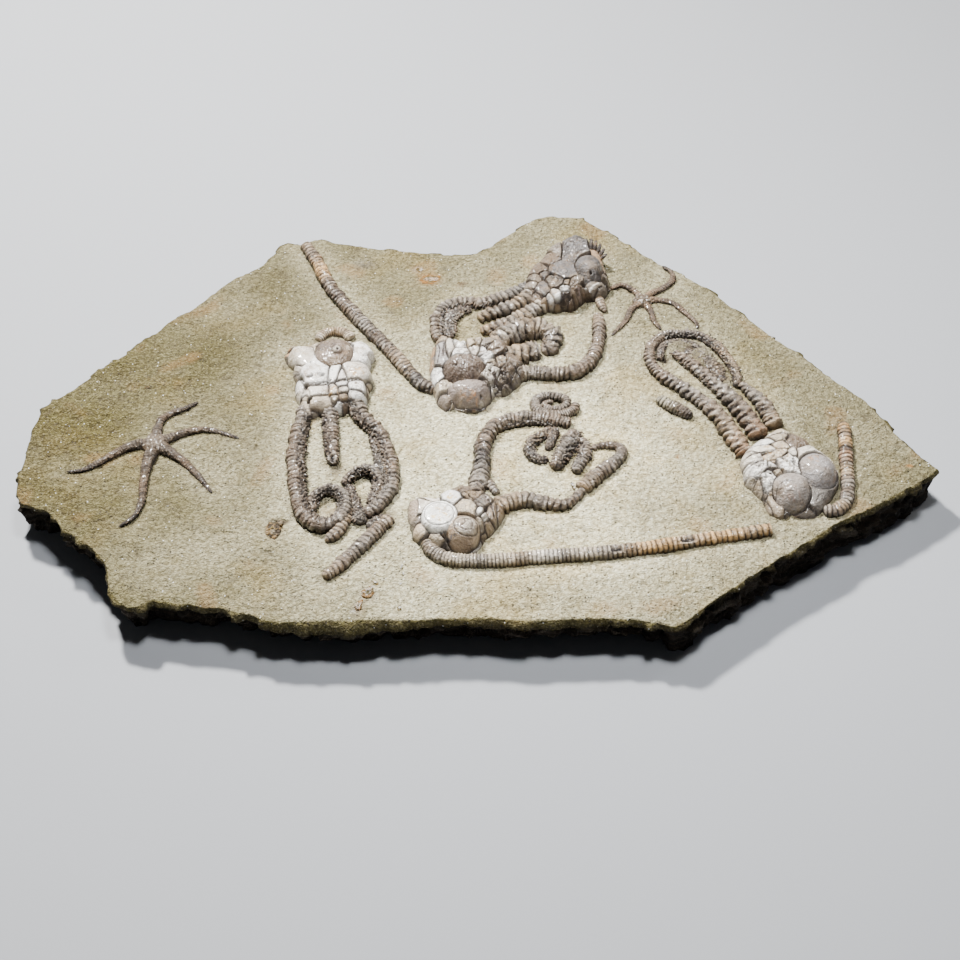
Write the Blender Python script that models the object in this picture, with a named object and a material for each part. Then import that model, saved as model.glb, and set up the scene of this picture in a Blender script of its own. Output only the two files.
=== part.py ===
"""Crinoid fossil slab: a block of siltstone with five crinoids and two brittle stars in relief on its face.

Plan points are in plan units (one unit is a millimetre) on the slab's flat face: X runs to the right and Y
away from the front edge. Every fossil stands on the face, and keeps GAP to it and to the fossils laid before.
"""

from itertools import accumulate

import bmesh
import bpy
from mathutils import Matrix, Vector, noise

# Driving dimensions, in metres.
SLAB_LENGTH = 0.4015
SLAB_THICKNESS = 0.020
GAP = 0.0003

# Plan units: the outline below is drawn at this length.
PLAN_LENGTH = 401.5
UNIT = SLAB_LENGTH / PLAN_LENGTH

# Ridges along stems and arms: from crest to crest in plan units, and their depth as a share of the half width.
STEM_PITCH = 6.6
ARM_PITCH = 10.5
STAR_PITCH = 14.0
RIDGE_DEPTH = 0.13
# Height over half width of a run's cross-section, and the share of the width left at its two ends.
RUN_LIFT = 1.15
END_SHARE = 0.62

# Plates are domes, and their middle lies this share of their height above the face.
PLATE_RISE = 0.18

# Joined pieces are welded within WELD, in metres, and lose the edges that bend less than FLAT, in radians.
WELD = 0.000002
FLAT = 0.16

# The slab's widest line, anticlockwise from its left corner: x, y, width of the worn rim above, undercut below.
SLAB_OUTLINE = (
    (-196, -1, 1.5, 3), (-199.5, -9, 1.5, 3), (-201, -20, 1.5, 3), (-201, -34, 1.5, 3), (-201, -47, 1.5, 3),
    (-200.5, -60, 1.5, 3), (-197, -67, 1.5, 4), (-190, -69.5, 1, 6), (-184, -72, 1, 7), (-179.5, -77, 1, 7),
    (-176, -83, 1.5, 7), (-170, -87, 2, 7), (-163, -93, 2, 7), (-156, -100, 1.5, 7), (-153, -107, 1.5, 7),
    (-152, -114, 1.5, 6), (-147.5, -121, 1.5, 7), (-142, -125.5, 1.5, 9), (-137, -125.5, 2, 9),
    (-131.5, -122, 2, 8), (-124, -123.5, 2, 8), (-113, -125.5, 2, 8), (-103, -127, 2, 8), (-96, -129.5, 2.5, 9),
    (-88, -133, 3, 10), (-80, -135.5, 4, 11), (-70, -136, 5, 11), (-60, -135.5, 5, 11), (-48, -134.5, 4.5, 10),
    (-35, -134.5, 4, 10), (-22, -133, 3, 9), (-8, -132, 2.5, 9), (6, -132.5, 2.5, 9), (20, -134, 3.5, 10),
    (34, -133.5, 3.5, 10), (48, -132, 2.5, 9), (60, -132.5, 2.5, 9), (70, -134.5, 2.5, 9), (77, -136, 2, 6),
    (82, -133, 1.5, 2), (88, -127.5, 1.2, 1), (97, -120, 1.2, 1), (108, -111, 1.2, 1), (119, -102.5, 1.2, 1),
    (130, -94.5, 1.2, 1), (140, -87, 1.2, 1), (150, -79.5, 1.5, 1), (158, -75, 2, 1), (168, -70.5, 2, 1),
    (178, -63, 2, 1), (188, -56.5, 2, 1), (196, -51, 2, 1.5), (200.5, -45, 1.5, 2), (197, -39, 2, 2),
    (191, -30, 2, 2), (186, -21, 2, 2), (181, -10, 2, 2), (176.5, 0, 2, 2), (169, 9, 2, 2), (158, 23, 2, 2),
    (148, 36, 2, 2), (139, 47, 2, 2), (130, 60, 2, 2), (122, 69.5, 2, 2), (116, 79, 2, 2), (107, 88, 2, 2),
    (99, 97, 2, 2), (90, 103, 1.5, 2), (83, 109.5, 1.5, 2), (76, 118.5, 2, 2), (68, 127.5, 2, 2),
    (61, 133, 2, 2), (54, 140, 2, 2), (47, 142, 2, 2), (37, 143, 2, 2), (28, 140, 2, 2), (20, 132.5, 2, 2),
    (11, 124, 2, 2), (5, 117, 2, 2), (0, 112, 2, 2), (-6, 109, 2, 2), (-18, 109.5, 2, 2), (-30, 111, 2, 2),
    (-42, 113.5, 2, 2), (-54, 115, 2, 2), (-66, 118.5, 2, 2), (-74, 119.5, 2, 2), (-79, 122, 2, 2),
    (-86, 121, 1.5, 2), (-91, 117.5, 1, 2), (-98, 118.5, 1.5, 2), (-103, 114, 2, 2), (-110, 101, 2, 2),
    (-115, 95.5, 2, 2), (-122, 91.5, 2, 2), (-128, 84, 2, 2), (-135, 73.5, 2, 2), (-142, 64, 2, 2),
    (-150, 57, 2, 2), (-157, 45.5, 2, 2), (-166, 33, 2, 2), (-175, 25, 2, 2), (-181, 17, 2, 2), (-188, 7, 2, 2),
)
# The rim drops by RIM_DROP, and by RIM_STEEPNESS for each unit of its width.
RIM_DROP = 0.6
RIM_STEEPNESS = 0.75
# Levels down the broken side, as shares of the way from the rim to the foot, and the ledges that step it:
# their depth, their spread along the edge, and how far the pattern moves on from one level to the next.
SIDE_LEVELS = (0.45, 1.0)
LEDGE_DEPTH = 1.6
LEDGE_SCALE = 0.11
LEVEL_SHIFT = 3.7

PLAN_CENTRE = Vector((
    (min(point[0] for point in SLAB_OUTLINE) + max(point[0] for point in SLAB_OUTLINE)) / 2,
    (min(point[1] for point in SLAB_OUTLINE) + max(point[1] for point in SLAB_OUTLINE)) / 2,
))
FACE = SLAB_THICKNESS
FOOT = FACE + GAP

# Colours of the rock and of the mineral that fills the fossils, linear.
SILTSTONE = (0.42, 0.37, 0.26)
CREAM = (0.68, 0.61, 0.49)
BROWN = (0.22, 0.17, 0.145)
GREY = (0.30, 0.27, 0.27)
TAN = (0.42, 0.28, 0.16)
STAR_BROWN = (0.27, 0.19, 0.14)


def plan(x, y, z=0.0):
    """A plan point in metres, with the middle of the slab's box at the origin."""
    return Vector(((x - PLAN_CENTRE.x) * UNIT, (y - PLAN_CENTRE.y) * UNIT, z))


# Scene, materials and small tools.

def clear_scene():
    for old in list(bpy.data.objects):
        bpy.data.objects.remove(old, do_unlink=True)


def new_collection(name):
    collection = bpy.data.collections.new(name)
    bpy.context.scene.collection.children.link(collection)
    return collection


def mineral(name, colour, roughness):
    material = bpy.data.materials.new(name)
    material.use_nodes = True
    shader = material.node_tree.nodes["Principled BSDF"]
    shader.inputs["Base Color"].default_value = (*colour, 1.0)
    shader.inputs["Roughness"].default_value = roughness
    shader.inputs["Metallic"].default_value = 0.0
    return material


def helper(name, data):
    """An object that only shapes others and is never rendered."""
    obj = bpy.data.objects.new(name, data)
    obj.hide_render = True
    obj.display_type = "WIRE"
    cutters.objects.link(obj)
    return obj


def mesh_from(bm, name):
    mesh = bpy.data.meshes.new(name)
    bm.to_mesh(mesh)
    bm.free()
    return mesh


def applied_mesh(obj):
    """The object's mesh as its modifiers or its bevel make it."""
    graph = bpy.context.evaluated_depsgraph_get()
    return bpy.data.meshes.new_from_object(obj.evaluated_get(graph))


def boolean(mesh, others, operation):
    """The mesh joined with the other meshes, or cut by them."""
    base = helper("base", mesh)
    tools = [helper("tool", other) for other in others]
    for tool in tools:
        step = base.modifiers.new("Boolean", "BOOLEAN")
        step.operation = operation
        step.solver = "EXACT"
        step.object = tool
    result = applied_mesh(base)
    for used in (base, *tools):
        bpy.data.objects.remove(used)
    return result


def body_around(face, waiting):
    """Takes from the waiting faces all that hang together with this one."""
    body = []
    border = [face]
    while border:
        current = border.pop()
        body.append(current)
        linked = {other for edge in current.edges for other in edge.link_faces} & waiting
        waiting -= linked
        border.extend(linked)
    return body


def tidied(mesh):
    """The mesh welded, with few faces, and without the crumbs that a cut leaves beside its main body."""
    bm = bmesh.new()
    bm.from_mesh(mesh)
    bmesh.ops.remove_doubles(bm, verts=bm.verts, dist=WELD)
    bmesh.ops.dissolve_degenerate(bm, edges=bm.edges, dist=WELD)
    bmesh.ops.dissolve_limit(bm, angle_limit=FLAT, verts=bm.verts, edges=bm.edges)
    bmesh.ops.triangulate(bm, faces=bm.faces)
    waiting = set(bm.faces)
    bodies = []
    for face in bm.faces:
        if face in waiting:
            waiting.remove(face)
            bodies.append(body_around(face, waiting))
    bodies.sort(key=lambda body: sum(face.calc_area() for face in body))
    crumbs = [face for body in bodies[:-1] for face in body]
    bmesh.ops.delete(bm, geom=crumbs, context="FACES")
    bmesh.ops.recalc_face_normals(bm, faces=bm.faces)
    return mesh_from(bm, mesh.name)


# Stems and arms.

def smooth_route(points, spacing):
    """Evenly spaced points on a smooth curve through the plan points."""
    steps = 16
    knots = [Vector(point) for point in points]
    knots = [2 * knots[0] - knots[1], *knots, 2 * knots[-1] - knots[-2]]
    fine = []
    for a, b, c, d in zip(knots, knots[1:], knots[2:], knots[3:]):
        for step in range(steps):
            t = step / steps
            bend = (2 * a - 5 * b + 4 * c - d) * t**2 + (3 * b - a - 3 * c + d) * t**3
            fine.append((2 * b + (c - a) * t + bend) / 2)
    fine.append(knots[-2])
    reached = [0.0, *accumulate((q - p).length for p, q in zip(fine, fine[1:]))]
    count = max(3, round(reached[-1] / spacing))
    route = []
    place = 0
    for index in range(count + 1):
        target = reached[-1] * index / count
        while place < len(fine) - 2 and reached[place + 1] < target:
            place += 1
        share = (target - reached[place]) / (reached[place + 1] - reached[place])
        route.append(fine[place].lerp(fine[place + 1], min(share, 1.0)))
    return route


def along(values, share):
    """The value at this share of the way through an evenly spread list."""
    place = share * (len(values) - 1)
    index = min(int(place), len(values) - 2)
    return values[index] + (values[index + 1] - values[index]) * (place - index)


def half_round():
    """The outline of a run's cross-section: a low arch on a flat base, one metre to each side."""
    curve = bpy.data.curves.new("half_round", "CURVE")
    curve.dimensions = "2D"
    spline = curve.splines.new("POLY")
    arch = ((1.0, 0.0), (0.74, 0.72), (0.0, 1.0), (-0.74, 0.72), (-1.0, 0.0))
    spline.points.add(len(arch) - 1)
    for point, (x, y) in zip(spline.points, arch):
        point.co = (x, y * RUN_LIFT, 0.0, 1.0)
    spline.use_cyclic_u = True
    return helper("half_round", curve)


def run(route, widths, pitch, grow):
    """One tapering run with ridges across it, half round above and flat below."""
    stations = smooth_route(route, pitch / 2)
    last = len(stations) - 1
    stations[0] += (stations[0] - stations[1]).normalized() * grow / UNIT
    stations[last] += (stations[last] - stations[last - 1]).normalized() * grow / UNIT
    curve = bpy.data.curves.new("run", "CURVE")
    curve.dimensions = "3D"
    curve.twist_mode = "Z_UP"
    curve.bevel_mode = "OBJECT"
    curve.bevel_object = cross_section
    curve.use_fill_caps = True
    spline = curve.splines.new("POLY")
    spline.points.add(last)
    for index, (point, place) in enumerate(zip(spline.points, stations)):
        half_width = along(widths, index / last) * UNIT / 2
        ridge = 1.0 if index % 2 else 1.0 - RIDGE_DEPTH
        point.co = (*plan(*place, FOOT - grow), 1.0)
        point.radius = half_width * (END_SHARE if index in (0, last) else ridge) + grow
    guide = helper("run", curve)
    mesh = applied_mesh(guide)
    bpy.data.objects.remove(guide)
    return tidied(mesh)


def runs(*parts, pitch=ARM_PITCH, grow=0.0):
    """Several runs joined into one body: each part is a route and its widths."""
    first, *others = [run(route, widths, pitch, grow) for route, widths in parts]
    return boolean(first, others, "UNION") if others else first


# Cups.

def dome(x, y, half_width, half_length, height, turn=0.0, grow=0.0):
    """One bulging plate: an ellipsoid whose upper part stands out of the face."""
    rise = height * PLATE_RISE
    sizes = [size * UNIT + grow for size in (half_width, half_length, height - rise)]
    placed = Matrix.Translation(plan(x, y, FOOT + rise * UNIT)) @ Matrix.Rotation(turn, 4, "Z")
    bm = bmesh.new()
    bmesh.ops.create_icosphere(bm, subdivisions=2, radius=1.0)
    bmesh.ops.transform(bm, matrix=placed @ Matrix.Diagonal((*sizes, 1.0)), verts=bm.verts)
    return mesh_from(bm, "dome")


def spine(base, tip, width, grow=0.0):
    """A thin cone from one plan point to another, with heights above the face."""
    start = plan(base[0], base[1], FACE + base[2] * UNIT)
    end = plan(tip[0], tip[1], FACE + tip[2] * UNIT)
    bm = bmesh.new()
    bmesh.ops.create_cone(
        bm,
        cap_ends=True,
        segments=5,
        radius1=width * UNIT / 2 + grow,
        radius2=width * UNIT / 6 + grow,
        depth=(end - start).length + 2 * grow,
    )
    leaning = (end - start).to_track_quat("Z", "Y").to_matrix().to_4x4()
    bmesh.ops.transform(bm, matrix=Matrix.Translation((start + end) / 2) @ leaning, verts=bm.verts)
    return mesh_from(bm, "spine")


def ground():
    """All that lies below the fossils' feet, as one block."""
    bm = bmesh.new()
    bmesh.ops.create_cube(bm, size=2 * SLAB_LENGTH)
    bmesh.ops.translate(bm, vec=(0.0, 0.0, FOOT - SLAB_LENGTH), verts=bm.verts)
    return mesh_from(bm, "ground")


def cup(*domes, spines=(), grow=0.0):
    """A cup of fused plates, cut flat where it stands on the face."""
    first, *others = [dome(*values, grow=grow) for values in domes]
    others.extend(spine(*values, grow=grow) for values in spines)
    fused = boolean(first, others, "UNION")
    return boolean(fused, [ground()], "DIFFERENCE")


def star(disc, *arms, grow=0.0):
    """A brittle star: a low disc with thin arms."""
    arm_meshes = [run(route, widths, STAR_PITCH, grow) for route, widths in arms]
    middle = boolean(dome(*disc, grow=grow), [ground()], "DIFFERENCE")
    return boolean(middle, arm_meshes, "UNION")


# The slab.

def inward_normals(outline):
    """For each corner of an anticlockwise outline, the direction into it."""
    normals = []
    for index, corner in enumerate(outline):
        before = outline[index - 1]
        after = outline[(index + 1) % len(outline)]
        along_edge = (corner - before).normalized() + (after - corner).normalized()
        normals.append(Vector((-along_edge.y, along_edge.x)).normalized())
    return normals


def ring(insets, heights):
    """The outline moved inwards by the insets, in plan units, at the heights, in metres."""
    outline = [Vector(point[:2]) for point in SLAB_OUTLINE]
    moved = [corner + into * inset for corner, into, inset in zip(outline, inward_normals(outline), insets)]
    return [plan(place.x, place.y, height) for place, height in zip(moved, heights)]


def ledge(point, level):
    """How far the broken side steps in at this outline point and level."""
    rough = noise.noise(Vector((point[0] * LEDGE_SCALE, point[1] * LEDGE_SCALE, level * LEVEL_SHIFT)))
    return LEDGE_DEPTH * (0.5 + rough)


def slab():
    """The block: a flat face, a worn rim, stepped and undercut sides, and a flat underside."""
    rims = [point[2] for point in SLAB_OUTLINE]
    drops = [(RIM_DROP + rim * RIM_STEEPNESS) * UNIT for rim in rims]
    rings = [ring([0.0] * len(rims), [FACE - drop for drop in drops])]
    for level, share in enumerate(SIDE_LEVELS):
        insets = [point[3] * share + ledge(point, level) * (share < 1.0) for point in SLAB_OUTLINE]
        heights = [(FACE - drop) * (1.0 - share) for drop in drops]
        rings.append(ring(insets, heights))
    bm = bmesh.new()
    top = bm.faces.new([bm.verts.new(place) for place in ring(rims, [FACE] * len(rims))])
    lowest = top
    for places in rings:
        made = bmesh.ops.extrude_face_region(bm, geom=[lowest])["geom"]
        if lowest is not top:
            bmesh.ops.delete(bm, geom=[lowest], context="FACES_ONLY")
        lowest = next(item for item in made if isinstance(item, bmesh.types.BMFace))
        for vert, place in zip(lowest.verts, places):
            vert.co = place
    bmesh.ops.recalc_face_normals(bm, faces=bm.faces)
    return mesh_from(bm, "slab")


# Laying the pieces.

def add_piece(name, mesh, material):
    """A finished piece, with its origin under its middle."""
    corners = [vert.co for vert in mesh.vertices]
    low = Vector(min(corner[axis] for corner in corners) for axis in range(3))
    high = Vector(max(corner[axis] for corner in corners) for axis in range(3))
    origin = Vector(((low.x + high.x) / 2, (low.y + high.y) / 2, low.z))
    mesh.transform(Matrix.Translation(-origin))
    mesh.name = name
    mesh.materials.clear()
    mesh.materials.append(material)
    obj = bpy.data.objects.new(name, mesh)
    obj.location = origin
    obj.parent = fossil
    pieces.objects.link(obj)


def near(low_high, other):
    return all(low_high[0][axis] < other[1][axis] and other[0][axis] < low_high[1][axis] for axis in (0, 1))


def reach(mesh):
    """The mesh's plan box, with a little room round it."""
    room = Vector((2 * GAP, 2 * GAP))
    low = Vector(min(vert.co[axis] for vert in mesh.vertices) for axis in (0, 1))
    high = Vector(max(vert.co[axis] for vert in mesh.vertices) for axis in (0, 1))
    return low - room, high + room


def lay(name, material, maker, *shape, **options):
    """Makes a fossil and lays it on the face, cut back from those already there."""
    mesh = maker(*shape, **options)
    box = reach(mesh)
    neighbours = [room.copy() for room_box, room in laid if near(box, room_box)]
    if neighbours:
        mesh = boolean(mesh, neighbours, "DIFFERENCE")
    clearance = maker(*shape, **options, grow=GAP)
    laid.append((reach(clearance), clearance))
    add_piece(name, tidied(mesh), material)


def lay_left_crinoid():
    """An upright cup with a large dome, two long arms that curl inwards and a short one between them."""
    lay(
        "left_crinoid_cup", mineral("left_cup_calcite", CREAM, 0.4), cup,
        (-70, 27, 21, 13, 8.6),
        (-68, 8, 17, 19, 8.6),
        (-69.5, 25, 10, 12, 11.2),
        (-84, 28, 8.5, 9, 7.6),
        (-56.5, 30, 7, 9, 7.6),
        (-77, 12, 7, 7.5, 9.4),
        (-58, 12, 7, 7.5, 9.4),
        (-76, -2, 8, 9, 7.4),
        (-56.5, -1, 6.5, 8, 7.6),
    )
    lay(
        "left_crinoid_stem_stub", mineral("left_stub_calcite", GREY, 0.45), runs,
        (((-77, 41), (-74, 45.5), (-69, 47.5), (-64, 46), (-61, 42)), (6, 6, 6)),
        pitch=STEM_PITCH,
    )
    brown = mineral("left_arm_calcite", BROWN, 0.38)
    long_left = (
        (-79, -6), (-79.5, -16), (-80.5, -28), (-80.5, -40), (-79, -52), (-77.5, -63), (-74.5, -73),
        (-69, -79.5), (-63, -79.5), (-58.5, -75), (-57.5, -67), (-60, -60), (-65, -57.5), (-68, -59.5),
    )
    long_right = (
        (-57, -4), (-52.5, -14), (-45.5, -23), (-41, -35), (-38.5, -48), (-39, -59), (-43.5, -68), (-49, -74),
    )
    fringe = ((-47, -24), (-45, -35), (-44, -48), (-46, -58), (-47, -66))
    lay("left_crinoid_left_arm", brown, runs, (long_left, (6, 8.5, 8.5, 8, 5)))
    lay(
        "left_crinoid_middle_arm", brown, runs,
        (((-68, -8), (-67, -20), (-65.5, -33), (-64, -43)), (8, 8, 7.5, 5)),
    )
    lay(
        "left_crinoid_right_arm", brown, runs,
        (long_right, (8, 8, 7.5, 7.5, 6, 4.5)),
        (fringe, (4, 5, 7, 8, 6)),
    )
    lay(
        "left_crinoid_thin_branch", brown, runs,
        (((-45, -49), (-50, -46), (-55, -49), (-59, -55)), (5, 5.5, 5, 4)),
    )
    lay(
        "left_crinoid_branch_tail", brown, runs,
        (((-55.5, -66), (-57, -76), (-60, -84), (-64.5, -88.5)), (4.5, 5.5, 6, 4)),
        pitch=STEM_PITCH,
    )
    lay(
        "left_crinoid_arm_fragment", brown, runs,
        (((-57, -55), (-54, -64), (-51.5, -72), (-50, -79)), (3.5, 4.5, 5, 5.5)),
    )


def lay_centre_crinoid():
    """A cup of two great balls at the end of a long stem, with three arms to its right."""
    lay(
        "centre_crinoid_cup", mineral("centre_cup_calcite", CREAM, 0.42), cup,
        (-4, 20, 19, 20, 9),
        (-9, 14.5, 9.5, 10, 12),
        (-5, 1.5, 10, 9, 10.4),
        (-17.8, -1.8, 4, 7, 5.5),
        (-17, 8, 6, 8, 6.5),
        (-19, 25, 6, 13, 8),
        (-4, 34, 9, 8, 9),
        (11, 16, 9.5, 13, 9),
        (14, 27, 8, 9, 8),
    )
    brown = mineral("centre_arm_calcite", BROWN, 0.38)
    long_stem = (
        (-88.5, 115.5), (-81.5, 101), (-74, 82), (-66.5, 69), (-58, 56), (-48, 41.5), (-40, 29.5), (-33, 18),
        (-27, 9.5), (-20, 5),
    )
    long_arm = ((14, 15), (22, 17), (32, 16.5), (42, 17), (49, 22), (54, 31), (56.5, 43), (57, 60))
    lay("centre_crinoid_stem", brown, runs, (long_stem, (6.5, 7, 7, 7, 6.5)), pitch=STEM_PITCH)
    lay(
        "centre_crinoid_upper_arm", brown, runs,
        (((6, 36), (14, 43), (22, 47), (29, 47), (33.5, 42), (33, 35)), (9, 10, 9, 8, 8, 8)),
    )
    lay(
        "centre_crinoid_middle_arm", brown, runs,
        (((10, 27), (18, 29), (24, 31), (28, 32)), (9, 9, 9, 8)),
    )
    lay("centre_crinoid_lower_arm", brown, runs, (long_arm, (7.5, 7.5, 7.5, 7.5, 7, 6.5, 6.5, 5.5)))


def lay_top_crinoid():
    """A tall cup at the upper right, with a tuft of spines and three arms that sweep down to the left."""
    lay(
        "top_crinoid_cup", mineral("top_cup_calcite", GREY, 0.42), cup,
        (42, 88, 17, 23, 8.6),
        (54, 91, 9, 12, 12.5),
        (57.5, 77, 6.5, 6.5, 9),
        (46, 105, 9.5, 11, 10),
        (40, 89, 7.5, 9, 10),
        (33.5, 98, 7, 8, 7.5),
        (28, 85, 8, 10, 7),
        (45, 73, 8, 9, 8.5),
        (36, 76, 7, 7.5, 8),
        (58.5, 103, 3.5, 5, 8),
        spines=(
            ((56.5, 103, 6), (54.5, 110.5, 11), 1.6),
            ((58, 103, 6), (57, 111.5, 12), 1.6),
            ((59.5, 103, 6), (59.5, 110.5, 10.5), 1.6),
            ((60.5, 102, 5), (61.5, 108, 8), 1.6),
        ),
    )
    lay(
        "top_crinoid_stem_stub", mineral("top_stub_calcite", TAN, 0.5), runs,
        (((58, 72), (59, 67), (60.5, 62.5)), (4.5, 4.5, 3)),
        pitch=STEM_PITCH,
    )
    brown = mineral("top_arm_calcite", BROWN, 0.36)
    looping = (
        (24, 82), (18, 77), (9, 72), (0, 69), (-8, 69.5), (-15, 67.5), (-20, 61), (-21.5, 53), (-21, 45),
        (-20, 40),
    )
    ribs = ((-4, 65), (-10, 63), (-14.5, 56), (-15, 49), (-14, 43))
    lay(
        "top_crinoid_middle_arm", brown, runs,
        (((29, 79), (22, 70.5), (13, 64), (5, 60), (-1, 57)), (9, 8.5, 8, 8, 5)),
    )
    lay(
        "top_crinoid_upper_arm", brown, runs,
        (looping, (7, 7, 6.5, 6, 6, 5.5, 5)),
        (ribs, (5, 8, 9, 8, 6)),
    )
    lay(
        "top_crinoid_lower_arm", brown, runs,
        (((36, 72), (29, 65), (20, 57.5), (10, 51), (0, 47.5)), (8, 8, 8, 7.5, 5)),
    )


def lay_front_crinoid():
    """A pale cup with a broken dome, a long stem along the front, and arms that fork round a coil."""
    lay(
        "front_crinoid_cup", mineral("front_cup_calcite", CREAM, 0.4), cup,
        (-11, -76, 16, 15, 9),
        (-18, -79, 8, 9, 10.5),
        (-8, -85.5, 7.3, 8.4, 9.5),
        (-12, -70, 6, 6.5, 9.8),
        (-3.5, -75, 6.5, 8, 9.5),
        (4, -76, 5.5, 9, 7.2),
        (-28.5, -73.5, 3.7, 8.5, 6),
        (-26, -86, 4, 4.8, 6),
        (-18.5, -88.5, 5.5, 4.5, 6),
        (-4, -62, 9.5, 9, 7),
    )
    long_stem = (
        (-22, -89), (-20, -94), (-14, -98.5), (-4, -100), (10, -99.5), (28, -97.5), (50, -95.5), (70, -92.5),
        (90, -88.5), (106, -85.5), (122, -82),
    )
    lay(
        "front_crinoid_stem", mineral("front_stem_calcite", TAN, 0.42), runs,
        (long_stem, (6.3, 6.5, 6.5, 6.5, 6.5, 6.3, 6, 6)),
        pitch=STEM_PITCH,
    )
    brown = mineral("front_arm_calcite", BROWN, 0.4)
    arch = ((-0.5, -56), (0.5, -46), (1, -36), (2.5, -27), (7, -19), (14, -14.5), (24, -13), (34, -15), (41, -17))
    coil = (
        (43.5, -4), (42, -8.5), (37, -11), (31, -11.3), (26, -8), (25, -3), (28, 0.3), (33, 1), (37.2, -1.5),
        (37, -6),
    )
    hooked = (
        (7, -70), (13, -66.5), (20, -65), (28, -67), (36, -67.5), (41.5, -62.5), (45, -57), (51, -50),
        (57, -44), (62, -37), (61, -32), (55, -31), (49, -32.5),
    )
    lay("front_crinoid_upper_arm", brown, runs, (arch, (8, 7, 6.5, 6.5, 6.5, 6.5, 6, 5, 4)))
    lay("front_crinoid_coil", brown, runs, (coil, (3.5, 4, 4.2, 4.2, 4.2, 4.2, 4, 4, 3.5, 2.2)), pitch=STEM_PITCH)
    lay(
        "front_crinoid_left_branch", brown, runs,
        (((33, -20), (27, -25), (22.5, -30), (22, -36), (26, -40.5), (30, -39)), (4, 4.5, 4.5, 4.5, 4, 3)),
        (((34, -20), (32, -27), (30, -34)), (4, 4, 3)),
    )
    lay(
        "front_crinoid_middle_branch", brown, runs,
        (((42, -22), (41, -28), (37, -36), (32.5, -46)), (7, 9, 7, 4.5)),
    )
    lay("front_crinoid_right_branch", brown, runs, (((45, -34), (44.5, -40), (42, -46)), (5, 7, 4)))
    lay(
        "front_crinoid_lower_arm", brown, runs,
        (hooked, (7.5, 7.5, 7.5, 7, 6, 5.5, 6, 6.5, 6, 5.5, 4.5, 4, 3)),
    )
    lay("front_crinoid_side_stub", brown, runs, (((3.5, -53), (5.5, -57.5), (7.5, -61)), (4, 4, 4)))


def lay_right_crinoid():
    """A pale crackled cup with two grey domes, three arms laid together and a stem that doubles back."""
    lay(
        "right_crinoid_cup", mineral("right_cup_calcite", CREAM, 0.42), cup,
        (133, -47, 17, 20, 8.8),
        (134, -63.5, 8.7, 9.5, 11),
        (147, -49, 8, 11, 9.8),
        (146, -65, 6, 5, 6),
        (124.5, -67, 4, 8, 4.5),
        (120, -52, 7, 8, 7.6),
        (132, -49, 8, 9, 9.8),
        (121, -41, 6.5, 7, 7.2),
        (131, -37, 7, 8, 8),
        (141, -36, 6.5, 8, 7.4),
    )
    doubled_stem = ((145.5, -71.5), (151, -71), (156, -66), (158.5, -56), (160, -42), (162, -27), (162.5, -17))
    lay(
        "right_crinoid_stem", mineral("right_stem_calcite", TAN, 0.45), runs,
        (doubled_stem, (5.5, 6, 6, 6, 6, 6, 5.5)),
        pitch=STEM_PITCH,
    )
    brown = mineral("right_arm_calcite", BROWN, 0.4)
    hooked = (
        (117, -38), (113, -28), (108, -14), (101, -3), (92, 7), (83.5, 16), (79.5, 25), (80.5, 36), (87, 43.5),
        (96, 45), (105, 43), (112, 35), (116.5, 25), (118.5, 16), (118, 8),
    )
    lay(
        "right_crinoid_left_arm", brown, runs,
        (hooked, (8, 8, 7.5, 7, 7, 6.5, 6, 6, 6, 6, 6, 6, 5.5, 5, 4)),
    )
    lay(
        "right_crinoid_middle_arm", brown, runs,
        (((124, -27), (120, -14), (113, 0), (105, 13), (97, 25), (91, 32)), (9, 9, 8, 7, 6.5, 5)),
    )
    lay(
        "right_crinoid_right_arm", brown, runs,
        (((132, -20), (129, -7), (124, 3), (119.5, 10)), (9, 8.5, 7, 4)),
    )


def lay_brittle_stars():
    """Two small brittle stars: a low disc each, and five thin arms that bend as they lie."""
    brown = mineral("star_calcite", STAR_BROWN, 0.42)
    lay(
        "left_brittle_star", brown, star, (-143.5, -30, 6, 6, 3.4),
        (((-143.5, -28), (-144, -20), (-143, -14), (-139, -9.5), (-133, -6), (-128, -2)), (5, 4, 3.5, 3, 2.5)),
        (((-142, -29), (-136, -25), (-129, -21.5), (-122, -20.5), (-115, -22.5), (-107, -26)), (5.5, 4, 3.5, 2.5)),
        (((-142, -31), (-136, -35.5), (-129, -41.5), (-122, -50), (-115, -60)), (5, 3.6, 3, 2.2)),
        (
            ((-144, -32), (-145.3, -42), (-145.3, -54), (-144.5, -65), (-146.5, -74), (-152, -80)),
            (5, 3.8, 3.2, 2),
        ),
        (((-145, -31), (-152, -30.5), (-159, -34.5), (-166, -41), (-173, -46), (-180, -47)), (5, 4, 3.2, 2)),
    )
    lay(
        "right_brittle_star", brown, star, (79, 71.5, 4.5, 4.5, 2.8),
        (((79, 73), (75.5, 79), (70.5, 83.5), (66, 82), (61.5, 78)), (4, 3.5, 3, 2.5)),
        (((80, 73), (84, 77), (90, 81), (95, 87), (95, 94), (91, 99)), (4.5, 3.8, 3.4, 2.4)),
        (((78, 70), (73, 64), (70.5, 57), (66, 50), (62.5, 45)), (4.5, 3.5, 2.8, 2)),
        (((80, 71.5), (87, 71.5), (94, 69), (99, 62), (103.5, 55), (104, 50)), (4.5, 3.8, 3.4, 2.4)),
        (((80, 70), (82.5, 63), (83.5, 56), (86.5, 49.5)), (4.5, 3.4, 3, 2.2)),
    )


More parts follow.
